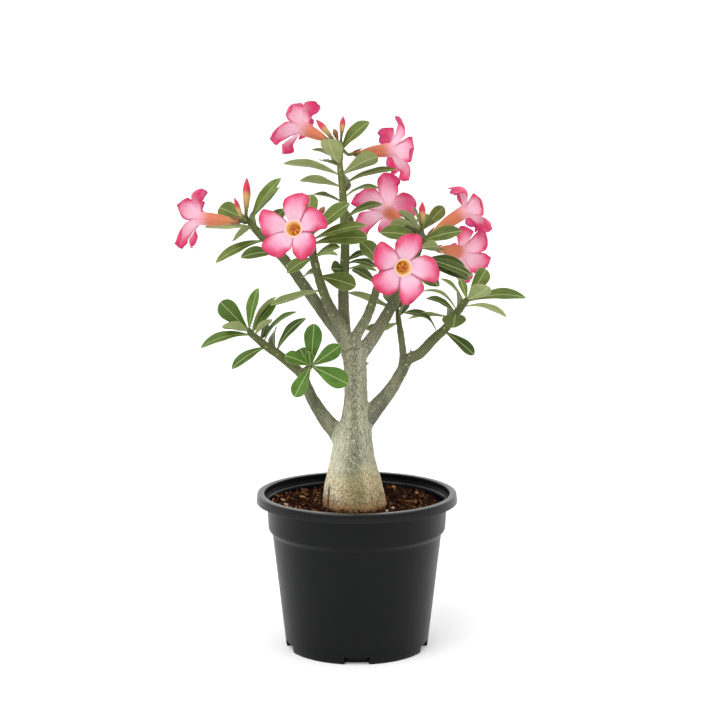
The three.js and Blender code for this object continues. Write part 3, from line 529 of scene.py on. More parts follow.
# Settings that a kind of node has unless a call gives others, and two of those others
USUAL = {
    "Mix": {"data_type": "RGBA"},
    "MapRange": {"interpolation_type": "SMOOTHSTEP"},
    "Math": {"operation": "MULTIPLY"},
    "VectorMath": {"operation": "MULTIPLY"},
}
STRAIGHT = {"interpolation_type": "LINEAR"}
TIMES_PLUS = {"operation": "MULTIPLY_ADD"}


def srgb(code):
    """A hex colour as linear red, green, blue and alpha."""
    parts = [int(code[i : i + 2], 16) / 255 for i in (1, 3, 5)]
    return [c / 12.92 if c <= 0.04045 else ((c + 0.055) / 1.055) ** 2.4 for c in parts] + [1.0]


def node(tree, kind, *values, out=0, **named):
    """Adds a shader node and gives one of its outputs. Values go into its open sockets in their order.
    A name with a capital is a socket's, and any other is a setting's. A value that is an output is
    linked, and a hex code becomes a linear colour."""
    made = tree.nodes.new("ShaderNode" + kind)
    for name, value in {**USUAL.get(kind, {}), **named}.items():
        if name.islower():
            setattr(made, name, value)
    pairs = list(zip([socket for socket in made.inputs if socket.enabled], values))
    pairs += [(made.inputs[name.replace("_", " ")], named[name]) for name in named if not name.islower()]
    for socket, value in pairs:
        if isinstance(value, bpy.types.NodeSocket):
            tree.links.new(value, socket)
        else:
            socket.default_value = srgb(value) if isinstance(value, str) else value
    outputs = [socket for socket in made.outputs if socket.enabled]
    return outputs[out] if outputs else None


def material(lay_out, *values):
    """A material named after the function that lays out its nodes and gives its surface. The function
    is handed node() for its own tree, then each value that its mesh keeps for every point."""
    made = bpy.data.materials.new(lay_out.__name__)
    made.use_nodes = True
    made.node_tree.nodes.clear()
    add = functools.partial(node, made.node_tree)
    kept = [add("Attribute", out=2, attribute_name=name) for name in values]
    add("OutputMaterial", lay_out(add, *kept))
    return made


def waxy_leaf(add, aside, rise, border, upper, tone, fresh):
    """Waxy succulent leaf: glossy olive to dark green above with a pale midrib, matt grey-green below."""
    place = add("TexCoord", out=3)
    away = add("Math", aside, operation="ABSOLUTE")
    # The midrib is just under 1 mm wide.
    rib = add("MapRange", away, 0.15, 0.6, 1, 0)
    clear = add("Math", rib, 0.68)
    # Side veins leave the midrib every 3 mm and lean toward the tip.
    lean = add("Math", away, -0.6, rise, **TIMES_PLUS)
    veins = add("Math", add("Math", lean, 1 / 3), 0.5, operation="PINGPONG")
    veins = add("MapRange", veins, 0, 0.12, 1, 0)
    faint = add("Math", veins, 0.09)
    # Blotches of about 8 mm, and a fine grain of about 1 mm
    blotch = add("TexNoise", place, 120, 3)
    grain = add("TexNoise", place, 900, 2)
    shade = add("MapRange", blotch, 0.3, 0.7, 0.1, 0.5, **STRAIGHT)
    speck = add("MapRange", grain, 0.4, 0.75, 0, 0.1, **STRAIGHT)
    # A thin pale edge of about 0.5 mm
    edge = add("MapRange", border, 0.15, 0.7, 0.55, 0)
    olive = add("Mix", tone, "#26380f", "#96a34a")
    top = add("Mix", fresh, olive, add("Mix", tone, "#1d420a", "#629331"))
    for share, code in ((shade, "#203409"), (faint, "#93a75c"), (clear, "#b5c080")):
        top = add("Mix", share, top, code)
    under = add("Mix", tone, "#76824d", "#bbc288")
    for share, code in ((shade, "#71804a"), (clear, "#c9cfa0")):
        under = add("Mix", share, under, code)
    colour = add("Mix", upper, under, top)
    for share, code in ((speck, "#a9b277"), (edge, "#a9ad72")):
        colour = add("Mix", share, colour, code)
    rough = add("Math", blotch, 0.2, add("MapRange", upper, 0, 1, 0.6, 0.36, **STRAIGHT), **TIMES_PLUS)
    bump = add("Bump", 0.22, 0.0004, Height=add("Math", veins, rib, operation="MAXIMUM"))
    bump = add("Bump", 0.3, 0.0015, Height=blotch, Normal=bump)
    return add(
        "BsdfPrincipled", Base_Color=colour, Roughness=rough, IOR=1.45, Specular_IOR_Level=0.25, Normal=bump,
        Subsurface_Weight=0.12, Subsurface_Radius=(0.5, 1.0, 0.15), Subsurface_Scale=0.0012,
    )


def flower_skin(add, rim, edge, path, across, inside):
    """Petal and funnel: soft matt skin that lets light through, pink with a magenta rim and a cream
    ring at the mouth, a yellow throat with red lines, and a salmon funnel outside."""
    cloud = add("TexNoise", add("TexCoord", out=3), 260, 3)
    # Fine veins fan out along each petal, one each millimetre or so.
    fan = add("VectorMath", add("CombineXYZ", across, path), (10, 0.035, 0))
    streak = add("TexNoise", fan, 2, 4)
    ragged = add("Math", cloud, -4, add("Math", streak, -7, rim, **TIMES_PLUS), **TIMES_PLUS)
    blush = add("MapRange", path, 2.5, 21)
    thin = add("MapRange", edge, 0.4, 1.8, 0.85, 0)
    face = add("Mix", blush, "#eac5d6", "#d9668f")
    lines = add("MapRange", streak, 0.42, 0.66, 0, 0.3, **STRAIGHT)
    deep = add("MapRange", ragged, -5.4, 3.2, 1, 0)
    for share, code in ((lines, "#dd7298"), (deep, "#cc2a56"), (thin, "#b02452")):
        face = add("Mix", share, face, code)
    back = add("Mix", blush, "#f4cddd", "#e77da7")
    lines = add("MapRange", streak, 0.44, 0.62, 0, 0.5, **STRAIGHT)
    band = add("MapRange", ragged, -5, 5, 1, 0)
    for share, code in ((lines, "#db6b98"), (band, "#db2f6c"), (thin, "#a81f50")):
        back = add("Mix", share, back, code)
    # The funnel outside: a tan foot, a salmon middle, and the petals' backs toward the mouth, with
    # streaks down it every millimetre or two
    funnel = add("Mix", add("MapRange", path, -38, -20), "#bd9052", "#c87552")
    run = add("TexNoise", add("VectorMath", fan, (0.25, 1.2, 1)), 1.6, 3)
    run = add("MapRange", run, 0.42, 0.66, 0, 0.6, **STRAIGHT)
    funnel = add("Mix", run, funnel, "#b9573a")
    outer = add("Mix", add("MapRange", path, -14, 4), funnel, back)
    # The throat inside: yellow, with rust-red lines down it, and a cream lip
    turn = add("Math", add("Math", across, 1.7), 0.5, operation="PINGPONG")
    guide = add("MapRange", turn, 0.03, 0.13, 0.6, 0)
    uneven = add("Math", cloud, 2, add("Math", streak, 7, path, **TIMES_PLUS), **TIMES_PLUS)
    throat = add("Mix", add("MapRange", path, -4, -1.2), "#dca034", "#e3b844")
    for share, code in ((guide, "#c8682a"), (add("MapRange", uneven, 2.1, 5), "#f0d2b6")):
        throat = add("Mix", share, throat, code)
    inner = add("Mix", add("MapRange", uneven, 3.4, 6.5), throat, face)
    colour = add("Mix", inside, outer, inner)
    # Painted light: an emission stands in for light passing through the thin skin on the outside, and lifts
    # the shade down in the throat.
    painted_glow = add("MapRange", inside, 0, 1, 0.15, 0, **STRAIGHT)
    painted_glow = add("Math", inside, add("MapRange", path, -1.5, 0.5, 0.22, 0), painted_glow, **TIMES_PLUS)
    return add(
        "BsdfPrincipled", Base_Color=colour, Roughness=0.5, IOR=1.4, Emission_Color=colour,
        Emission_Strength=painted_glow, Normal=add("Bump", 0.3, 0.0003, Height=streak),
        Subsurface_Weight=0.15, Subsurface_Radius=(1.0, 0.6, 0.7), Subsurface_Scale=0.0012,
    )


def caudex_bark(add, youth, crack, shaded, limb):
    """Thin bark: cream and net-cracked at the soil, grey-olive with pale and dark upright specks
    above, pale leaf scars on the branches, and olive green on young stems."""
    place = add("TexCoord", out=3)
    level = add("SeparateXYZ", place, out=2)
    # Upright specks 0.7 mm wide and 2.4 mm tall, and a net of cracks with islands 2.5 mm wide
    upright = add("VectorMath", place, (1, 1, 0.3))
    specks = add("TexNoise", upright, 1400, 2)
    cloud = add("TexNoise", upright, 60, 5)
    wander = add("TexNoise", place, 300, 3, out=1)
    bent = add("VectorMath", wander, (0.0042,) * 3, place, **TIMES_PLUS)
    net = add("TexVoronoi", add("VectorMath", bent, (1, 1, 0.45)), 400, feature="DISTANCE_TO_EDGE")
    scars = add("TexVoronoi", place, 150)
    uneven = add("Math", cloud, -0.03, level, **TIMES_PLUS)
    low = add("MapRange", uneven, 0.143, 0.164, 1, 0)
    # The branches are darker than the trunk, from a seam 3 mm off it that is wide in the crown.
    crown = add("MapRange", level, 0.225, 0.275, 0, 0.35)
    ragged = add("Math", cloud, 4, limb, **TIMES_PLUS)
    seam = add("MapRange", crown, 0, 0.35, 6.2, 36, **STRAIGHT)
    thinner = add("MapRange", ragged, 5, seam, 0, 0.8)
    dull = add("Mix", add("MapRange", cloud, 0.4, 0.62, **STRAIGHT), "#3b3e2b", "#82846b")
    # Painted light and shade: the flank on the left is painted paler, as if lit, and the band up the front
    # is painted darker and greener, with denser dark pits, as shade.
    painted_lit_flank = add("MapRange", shaded, -1, -0.1, 0.65, 0)
    green = add("Math", shaded, 0.72, use_clamp=True)
    pits = add("MapRange", add("Math", shaded, -0.05, specks, **TIMES_PLUS), 0.36, 0.45, 0.65, 0)
    pale = add("MapRange", thinner, 0, 1, 0.6, 0.15, **STRAIGHT)
    dots = add("Math", add("MapRange", specks, 0.55, 0.63), pale)
    # Dark upright lines under 1 mm wide, many millimetres long
    grained = add("TexNoise", add("VectorMath", bent, (1, 1, 0.09)), 600, 1)
    grained = add("Math", add("Math", grained, 0.5, 0.04, operation="COMPARE"), 0.55)
    # A dark crease marks where each branch leaves the trunk.
    crease = add("Math", add("Math", ragged, 5.7, 0.45, operation="COMPARE"), 0.45)
    grey = add("Mix", cloud, "#96987c", "#c6c3a8")
    for share, code in (
        (crown, "#6f7258"), (thinner, dull), (painted_lit_flank, "#e2dfc2"), (green, "#7c8167"), (pits, "#474c36"),
        (dots, "#d8d5b9"), (grained, "#474d35"), (crease, "#4a4a34"),
    ):
        grey = add("Mix", share, grey, code)
    lines = add("MapRange", net, 0, 0.15, 0.66, 0)
    tan = add("Mix", cloud, "#b9a470", "#f0e2b8")
    # The painted shade band and the painted light flank reach into the tan foot as well.
    for share, code in ((green, "#92895e"), (painted_lit_flank, "#fdf2d2"), (lines, "#644f28")):
        tan = add("Mix", share, tan, code)
    # Painted shade: stems are painted darkest low down, where leaves shade them, and lighter toward the top
    # of the plant.
    young = add("MapRange", level, 0.39, 0.46, **STRAIGHT)
    olive, green_skin = add("Mix", young, "#343c1c", "#616a34"), add("Mix", young, "#686f39", "#848b47")
    fresh = add("Mix", pits, add("Mix", cloud, olive, green_skin), "#3a431f")
    scar = add("Math", add("MapRange", scars, 0.1, 0.2, 0.6, 0), add("MapRange", level, 0.2, 0.26))
    # Peat stains about the last centimetre above the soil.
    stain = add("MapRange", uneven, 0.118, 0.136, 0.85, 0)
    gap = add("MapRange", crack, 0.35, 1.1, 0.9, 0)
    colour = grey
    for share, code in ((low, tan), (stain, "#96602f"), (youth, fresh), (scar, "#bcb98f"), (gap, "#5f4023")):
        colour = add("Mix", share, colour, code)
    relief = add("MapRange", net, 0, 0.25, **STRAIGHT)
    relief = add("Mix", low, specks, relief, data_type="FLOAT")
    bump = add("Bump", 0.6, 0.0008, Height=relief)
    return add("BsdfPrincipled", Base_Color=colour, Roughness=0.68, IOR=1.45, Normal=bump)


def moulded_polypropylene(add, gloss):
    """Black moulded polypropylene: satin, glossier on the rim, with a fine mould texture and faint
    dust."""
    place = add("TexCoord", out=3)
    # Mould texture is about 0.4 mm; drawn at 0.8 mm so that it shows.
    grain = add("TexNoise", place, 1250, 2)
    cloud = add("TexNoise", place, 30, 5)
    dust = add("MapRange", cloud, 0.45, 0.75, 0, 0.25, **STRAIGHT)
    even = add("MapRange", gloss, 0.17, 0.5, 0.3, 0.18, **STRAIGHT)
    return add(
        "BsdfPrincipled", Base_Color=add("Mix", dust, "#050608", "#0d0e11"), IOR=1.49,
        Roughness=add("Math", cloud, 0.15, even, **TIMES_PLUS), Specular_IOR_Level=gloss,
        Normal=add("Bump", 0.12, 0.0002, Height=grain),
    )


def peat(add):
    """Moist peat: nearly black-brown crumbs of 2.4 mm in patches of 11 mm, matt with a little shine."""
    place = add("TexCoord", out=3)
    crumbs = add("TexVoronoi", place, 420)
    patch = add("MapRange", add("TexNoise", place, 90, 3), 0.5, 0.7, 0, 0.5, **STRAIGHT)
    colour = add("Mix", add("TexNoise", place, 700, 5), "#0c0502", "#261108")
    return add(
        "BsdfPrincipled", Base_Color=add("Mix", patch, colour, "#371a0c"), Roughness=0.85,
        Specular_IOR_Level=0.04, Normal=add("Bump", 0.9, 0.001, Height=crumbs),
    )


def bark_chips(add, tone):
    """Composted bark chips: dry fibrous faces from dark brown to tan, and a few pale stones."""
    fibre = add("TexNoise", add("TexCoord", out=3), 800, 4)
    dark = add("Mix", fibre, "#160803", "#43200f")
    pale = add("Mix", fibre, "#7c4a2a", "#cf9c6c")
    stone = add("MapRange", tone, 1.2, 2, 0, 0.8, **STRAIGHT)
    return add(
        "BsdfPrincipled", Base_Color=add("Mix", stone, add("Mix", tone, dark, pale), "#cdbfae"),
        Roughness=0.8, Specular_IOR_Level=0.06, Normal=add("Bump", 0.6, 0.0005, Height=fibre),
    )


def bud_skin(add, along, fold):
    """Closed bud: satin, rose red at the tip and salmon to green at the foot, with twisted folds."""
    colour = add("Mix", add("MapRange", along, 0, 0.35), "#948a4a", "#cfa56b")
    red = add("MapRange", along, 0.44, 0.66)
    line = add("MapRange", fold, 0.7, 1, 0, 0.6)
    point = add("MapRange", along, 0.9, 1, 0, 0.7)
    for share, code in ((red, "#cf3650"), (line, "#97213a"), (point, "#6e1f2c")):
        colour = add("Mix", share, colour, code)
    return add(
        "BsdfPrincipled", Base_Color=colour, Roughness=0.45,
        Subsurface_Weight=0.1, Subsurface_Radius=(1.0, 0.4, 0.4), Subsurface_Scale=0.001,
    )


def sepal_skin(add):
    """Sepals and unripe buds: brown-red over green, slightly hairy."""
    cloud = add("TexNoise", add("TexCoord", out=3), 400, 3)
    colour = add("Mix", add("MapRange", cloud, 0.35, 0.65, **STRAIGHT), "#7d6a38", "#9c4a34")
    return add("BsdfPrincipled", Base_Color=colour, Roughness=0.6, Sheen_Weight=0.2)


def anther(add, thread):
    """Anthers: yellow and dusty with pollen, with rust-red threads."""
    cloud = add("TexNoise", add("TexCoord", out=3), 900, 3)
    dust = add("Mix", cloud, "#dd8f26", "#ffda6a")
    rust = add("Mix", cloud, "#983620", "#c9662c")
    return add(
        "BsdfPrincipled", Base_Color=add("Mix", thread, dust, rust), Roughness=0.7,
        Subsurface_Weight=0.3, Subsurface_Radius=(1.0, 0.6, 0.2), Subsurface_Scale=0.0015,
    )


def white_paper_sweep(add):
    """Matt white paper under the pot: a faint glow keeps the far floor white."""
    return add(
        "BsdfPrincipled", Base_Color="#fbfbfb", Roughness=0.9,
        Emission_Color="#ffffff", Emission_Strength=0.1,
    )


# Pot

def rounded(profile, radius, steps=4):
    """A profile with each corner cut back by radius, or a third of its shorter side, and bridged by
    a parabola."""
    profile = np.asarray(profile, float)
    before, corner, after = profile[:-2], profile[1:-1], profile[2:]
    sides = [np.linalg.norm(end - corner, axis=1, keepdims=True) for end in (before, after)]
    cut = np.minimum(radius, np.minimum(*sides) * 0.34)
    start = corner + (before - corner) / sides[0] * cut
    end = corner + (after - corner) / sides[1] * cut
    t = np.linspace(0, 1, steps)[:, None, None]
    bridge = (1 - t) ** 2 * start + 2 * t * (1 - t) * corner + t**2 * end
    return np.concatenate([profile[:1], bridge.transpose(1, 0, 2).reshape(-1, 2), profile[-1:]])


def pot():
    """The pot's profile turned round the axis. Within each drain's angle, what lies outside the
    inner radius and below the drain's height is lifted to that height."""
    notch_wall = FOOT_RADIUS + (STEP_RADIUS - FOOT_RADIUS) * DRAIN_HEIGHT / STEP_HEIGHT
    body = [
        [DRAIN_INNER_RADIUS, 0], [DRAIN_INNER_RADIUS + 0.01, 0], [FOOT_RADIUS - 0.6, 0],
        [FOOT_RADIUS, 0.8], [notch_wall, DRAIN_HEIGHT], [STEP_RADIUS, STEP_HEIGHT],
        [STEP_RADIUS + 0.8, STEP_HEIGHT + 1.6], [BAND_FOOT_RADIUS - 0.4, STEP_HEIGHT + 4.6],
        [BAND_FOOT_RADIUS, STEP_HEIGHT + 7], [BAND_RADIUS, LIP - 1], [BAND_RADIUS + 3.6, LIP + 0.8],
        [BAND_RADIUS + 3.8, POT_HEIGHT - 1.7], [RIM_RADIUS - 1.9, POT_HEIGHT - 1.7],
        [RIM_RADIUS - 1.5, LIP], [RIM_RADIUS, LIP], [RIM_TOP_RADIUS + 0.1, POT_HEIGHT],
        [MOUTH_RADIUS, POT_HEIGHT], [MOUTH_RADIUS - 0.5, LIP + 3.4], [BAND_RADIUS - 0.4, LIP + 0.3],
        [BAND_RADIUS - WALL, LIP - 2], [BAND_FOOT_RADIUS - WALL, STEP_HEIGHT + 7],
        [STEP_RADIUS - WALL, STEP_HEIGHT - 0.4], [FOOT_RADIUS - WALL, FLOOR_THICKNESS],
        [DRAIN_INNER_RADIUS - WALL, FLOOR_THICKNESS], [DRAIN_INNER_RADIUS - WALL - 0.01, FLOOR_THICKNESS],
    ]
    outline = np.concatenate([body[:5], rounded(body[4:21], 1.1)[1:-1], body[20:]])
    half = math.degrees(math.asin(DRAIN_WIDTH / 2 / FOOT_RADIUS))
    drains = FIRST_DRAIN + 360 / DRAIN_COUNT * np.arange(DRAIN_COUNT)
    edges = (drains[:, None] + np.array([-half - 0.05, -half, half, half + 0.05])).ravel() % 360
    turns = np.sort(np.concatenate([np.arange(0, 360, 2.0), edges]))
    off = np.abs((turns[:, None] - drains + 180) % 360 - 180).min(axis=1)
    radius = np.broadcast_to(outline[:, :1], (len(outline), len(turns)))
    outer = np.arange(len(outline))[:, None] < 5
    floor = np.where(outer, DRAIN_HEIGHT, DRAIN_HEIGHT + FLOOR_THICKNESS)
    inner_radius = np.where(outer, DRAIN_INNER_RADIUS, DRAIN_INNER_RADIUS - WALL - 0.005)
    lifted = (off <= half + 0.01) & (radius > inner_radius)
    height = np.where(lifted, np.maximum(outline[:, 1:], floor), outline[:, 1:])
    angle = np.radians(turns)
    rings = np.stack([radius * np.cos(angle), radius * np.sin(angle), height], -1)
    level = outline[:, 1:]
    top = level > POT_HEIGHT - 1
    inside = np.arange(len(outline))[:, None] > np.flatnonzero(level > POT_HEIGHT - 0.3)[-1]
    gloss = np.where(inside, np.where(np.abs(level - LIP - 0.1) < 0.5, STEP_GLOSS, INSIDE_GLOSS), WALL_GLOSS)
    gloss = np.where(~inside & (level > LIP - 0.5), np.where(top, RIM_TOP_GLOSS, RIM_GLOSS), gloss)
    skin = closed(rings, [0, 0, 0], [0, 0, FLOOR_THICKNESS])
    made = Piece().add(skin, gloss=per_point(gloss, rings, [WALL_GLOSS, WALL_GLOSS])).object("nursery_pot")
    made.data.set_sharp_from_angle(angle=math.radians(38))
    return made


# Soil

def spokes(sides):
    """Evenly spread points round a circle with a radius of one."""
    turn = circle(sides)
    return np.stack([np.cos(turn), np.sin(turn), 0 * turn], -1)


def soil_level(points):
    """Height of the soil's top: heaps where it was pressed round the caudex, and lumps of 12, 5 and
    2 mm."""
    flat = points * [1, 1, 0]
    heaps = 0
    for x, y, spread, height in SOIL_HEAPS:
        heaps = heaps + height * np.exp(-((points[..., 0] - x) ** 2 + (points[..., 1] - y) ** 2) / spread**2)
    grain = 1.0 * lumps(flat, 12) + 1.0 * lumps(flat + 50, 5) + 0.7 * lumps(flat + 90, 2.2)
    return SOIL_HEIGHT - 0.8 + heaps + grain


def soil():
    """Soil filling the pot: rings out from the middle over the lumpy top, then down the wall."""
    top = np.linspace(14, BAND_RADIUS - WALL - 0.5, 62)[:, None, None] * spokes(240)
    top[..., 2] = soil_level(top)
    wall = np.array([
        [BAND_FOOT_RADIUS - WALL - 0.5, STEP_HEIGHT + 7], [STEP_RADIUS - WALL - 0.6, STEP_HEIGHT - 1],
        [DRAIN_INNER_RADIUS + 5, 12], [DRAIN_INNER_RADIUS - WALL - 1, 9.5],
        [DRAIN_INNER_RADIUS - WALL - 1, FLOOR_THICKNESS + 0.4],
    ])
    side = wall[:, :1, None] * spokes(240) + wall[:, 1:, None] * UP
    skin = closed(np.concatenate([top, side]), [0, 0, SOIL_HEIGHT], [0, 0, FLOOR_THICKNESS + 0.4])
    return Piece().add(skin).object("soil_fill")


def chips():
    """Bark chips on the soil: each a flat lump of three six-sided rings, with a place, size and tilt
    from the seed, after those listed."""
    draw = np.random.default_rng(SEED)
    piece = Piece()
    for index in range(CHIP_COUNT):
        if index < len(BIG_CHIPS):
            (x, y), size, spin, tone = BIG_CHIPS[index]
            lift, pitch, roll = 1.2, 0.25, 0.1
        else:
            radius = math.sqrt(draw.uniform(28**2, 80**2))
            angle = draw.uniform(0, 2 * math.pi)
            x, y = radius * math.cos(angle) - 2, radius * math.sin(angle)
            size = draw.uniform(1.0, 4.4), draw.uniform(0.5, 1.3), draw.uniform(0.35, 0.75)
            spin, pitch, roll = draw.uniform(0, 6.28), draw.normal(0, 0.7), draw.normal(0, 0.8)
            lift, tone = draw.uniform(-0.3, 2.0), (1.35 if x < -35 else 0.55) * draw.random() ** 4
        centre = np.array([x, y, 0.0])
        centre[2] = soil_level(centre) + lift
        ring = spokes(6) * draw.uniform(0.7, 1.1, (6, 1))
        rings = ring * CHIP_LEVELS[:, :1, None] + CHIP_LEVELS[:, 1:, None] * UP
        turned_size = np.diag(size) @ turn_matrix(spin, pitch, roll).T
        ends = np.array([[0, 0, -0.9], [0, 0, 0.9]]) @ turned_size + centre
        piece.add(closed(rings @ turned_size + centre, *ends), tone=tone)
    made = piece.object("bark_chips")
    made.data.shade_flat()
    return made


def turn_matrix(spin, pitch, roll):
    """A turn by roll about X, then pitch about Y, then spin about Z."""
    cs, ss = math.cos(spin), math.sin(spin)
    cp, sp = math.cos(pitch), math.sin(pitch)
    cr, sr = math.cos(roll), math.sin(roll)
    about_z = np.array([[cs, -ss, 0], [ss, cs, 0], [0, 0, 1]])
    about_y = np.array([[cp, 0, sp], [0, 1, 0], [-sp, 0, cp]])
    about_x = np.array([[1, 0, 0], [0, cr, -sr], [0, sr, cr]])
    return about_z @ about_y @ about_x


# Trunk and stems

def caudex():
    """Rings through the trunk's rows, each scaled by root flutes that fade out upward."""
    rows = spline(TRUNK_ROWS, np.linspace(0, 1, 90))[0]
    turn = circle(72)
    fade = np.clip((FLUTE_TOP - rows[:, :1]) / 60, 0, 1)
    flute = 0.6 * np.cos(5 * turn + 0.6) + 0.4 * np.cos(9 * turn + 2.1)
    radius = rows[:, 2:] * (1 + FLUTE_DEPTH * fade * flute)
    height = np.broadcast_to(rows[:, :1], radius.shape)
    rings = np.stack([rows[:, 1:2] + radius * np.cos(turn), radius * np.sin(turn), height], -1)
    return closed(rings, [rows[0, 1], 0, rows[0, 0]], [rows[-1, 1], 0, rows[-1, 0]])


def fused(piece, name):
    """A piece as one skin on a fine grid, eased where its limbs meet, with its points and normals in
    mm."""
    made = piece.object(name)
    fuse = made.modifiers.new("Fuse", "REMESH")
    fuse.mode = "VOXEL"
    fuse.voxel_size = SKIN_GRID * MM
    ease = made.modifiers.new("Ease", "SMOOTH")
    ease.factor = 0.5
    ease.iterations = 6
    mesh = bpy.data.meshes.new_from_object(made.evaluated_get(bpy.context.evaluated_depsgraph_get()))
    made.modifiers.clear()
    made.data = mesh
    points, normals = np.empty((2, len(mesh.vertices) * 3), np.float32)
    mesh.vertices.foreach_get("co", points)
    mesh.vertices.foreach_get("normal", normals)
    return made, points.reshape(-1, 3).astype(float) / MM, normals.reshape(-1, 3).astype(float)


def foot_cracks(points, turn):
    """Distance in mm from the nearest crack in the caudex's foot: each wanders up the skin to its own
    reach, and a narrow one counts as further off."""
    crack = np.full(len(points), NO_CRACK)
    for place, reach, width in CRACKS:
        gap = np.abs((turn - math.radians(place) + np.pi) % (2 * np.pi) - np.pi) * CAUDEX_RADIUS
        gap = np.abs(gap + 1.2 * lumps(points * [0, 0, 1] + place, 9)) + 0.8 * (1 - width)
        crack = np.minimum(crack, gap + 4 * smooth(reach - 7, reach, points[:, 2]))
    return crack + NO_CRACK * smooth(160, 165, points[:, 2])


def plant_body():
    """The caudex, branches and green stems as one skin, raised by formulas of place. youth is 1 on
    green stems, crack the distance from the foot's cracks in mm, painted shade and light 1 on a band up the
    front that is painted darker and greener as shade and -1 on the left flank that is painted paler as if
    lit, and limb the distance from the trunk in mm."""
    piece = Piece().add(caudex())
    t = np.linspace(0, 1, LIMB_SAMPLES)
    trunk = spline(TRUNK_ROWS, t)[0]
    samples = [np.column_stack([trunk[:, 1], 0 * t, trunk[:, 0], trunk[:, 2], 0 * t])]
    for name, shoot in SHOOTS.items():
        rows = shoot["bare"] + shoot["stem"][1:]
        limb = Limb.leaning(name, rows)
        piece.add(limb.skin(20, 12 * len(rows)))
        bare = (len(shoot["bare"]) - 1) / (len(rows) - 1)
        youth = smooth(0.35 * bare - 0.2, min(1, bare + 0.12), t)
        samples.append(np.column_stack([*limb.at(t)[:2], youth]))
    for stub in STUBS:
        piece.add(Limb.leaning(stub["on"], [stub["root"] + [1.3], stub["tip"] + [0.8]]).skin(10, 4))
    samples = np.concatenate(samples)
    made, points, normals = fused(piece, "plant_body")
    youth, limb = np.empty((2, len(points)))
    for start in range(0, len(points), BATCH):
        batch = slice(start, start + BATCH)
        away = np.linalg.norm(points[batch, None] - samples[None, :, :3], axis=-1) - samples[:, 3]
        youth[batch] = samples[away.argmin(axis=1), 4]
        limb[batch] = away[:, :LIMB_SAMPLES].min(axis=1)
    height = points[:, 2]
    turn = np.arctan2(points[:, 1], points[:, 0] + 3)
    crack = foot_cracks(points, turn)
    low = 1 - smooth(150, 176, height)
    # Painted shade on a band up the front, toward the camera, and painted light on the left flank: a value
    # from 1 to -1.
    front = np.abs(turn + np.pi / 2 + 0.1 * lumps(points, 30) - 0.08)
    shaded = (1 - smooth(0.1, 0.45, front)) * (1 - smooth(300, 330, height))
    painted_lit_flank = smooth(0.15, 0.75, -np.cos(turn)) * (1 - smooth(185, 225, height))
    shaded = shaded - painted_lit_flank * (1 - smooth(1, 5, limb))
    relief = 0.35 * low * lumps(points, 5) + 0.3 * low * lumps(points, 2.6)
    relief = relief + 0.16 * (1 - youth) * lumps(points * [1, 1, 0.35], 2.2)
    relief = relief + 0.25 * (1 - low) * lumps(points * [0.25, 0.25, 1], 3.4)
    relief = relief - 0.8 * (1 - smooth(0.2, 1.6, crack))
    moved = points + normals * relief[:, None]
    made.data.vertices.foreach_set("co", (moved * MM).astype(np.float32).ravel())
    for key, values in {"youth": youth, "crack": crack, "shaded": shaded, "limb": limb}.items():
        store(made.data, key, values)
    made.data.shade_smooth()
    made.data.update()
    return made


def stalks():
    """Flower and bud stalks: limbs from near a shoot's tip, bent into the line of each bloom."""
    piece = Piece()
    for entry in BLOOMS + BUDS:
        limb = Limb.leaning(entry["shoot"], SHOOTS[entry["shoot"]]["stem"])
        place = bloom_frame(entry)
        is_bloom = "size" in entry
        radius = PEDUNCLE_RADIUS if is_bloom else max(0.9, BUD_STALK_SHARE * entry["radius"])
        start = limb.at(STALK_START)[0][0]
        finish = place["foot"] - place["axis"] * (CALYX_DEPTH if is_bloom else 0)
        bend = finish - place["axis"] * STALK_BEND * np.linalg.norm(finish - start)
        rows = [[*start, radius], [*bend, radius], [*finish, radius * 1.15]]
        piece.add(Limb(rows).skin(10, 12), youth=1.0, crack=NO_CRACK, shaded=0.0)
    return piece.object("flower_stalks")


# Leaves

def blade(place, steps, splits, thickness):
    """A thin closed blade. place(u, v) gives the middle surface and the way its upper face looks,
    u from root to tip and v from edge to edge; each side stands off it by half the thickness times
    the square root of 1 - v^2, thinning to the tip."""
    v = np.sin(np.linspace(-1, 1, splits + 1) * np.pi / 2)
    ring = np.concatenate([v, v[-2:0:-1]])
    side = np.concatenate([np.ones(splits + 1), -np.ones(splits - 1)])
    u = np.asarray(steps)[:, None]
    points, normal = place(u, ring[None, :])
    lens = thickness / 2 * np.sqrt(np.maximum(0, 1 - ring**2)) * np.minimum(1, 6 * (1.02 - u))
    rings = points + normal * (side * lens)[..., None]
    ends = [place(np.array([[end]]), np.zeros((1, 1)))[0][0, 0] for end in (steps[0], 1)]
    return closed(rings, *ends), *(per_point(values, rings) for values in (u, ring, side > 0))


def leaf_outline(u, blunt):
    """Half width of a leaf, as a share: the sine of pi u^1.5 to the power of 0.75, so that it is widest
    past the middle. A blunt leaf has 2.1 and 0.55 there, is widest further out and ends broader."""
    return np.sin(np.pi * np.clip(u, 0, 1) ** (2.1 if blunt else 1.5)) ** (0.55 if blunt else 0.75)


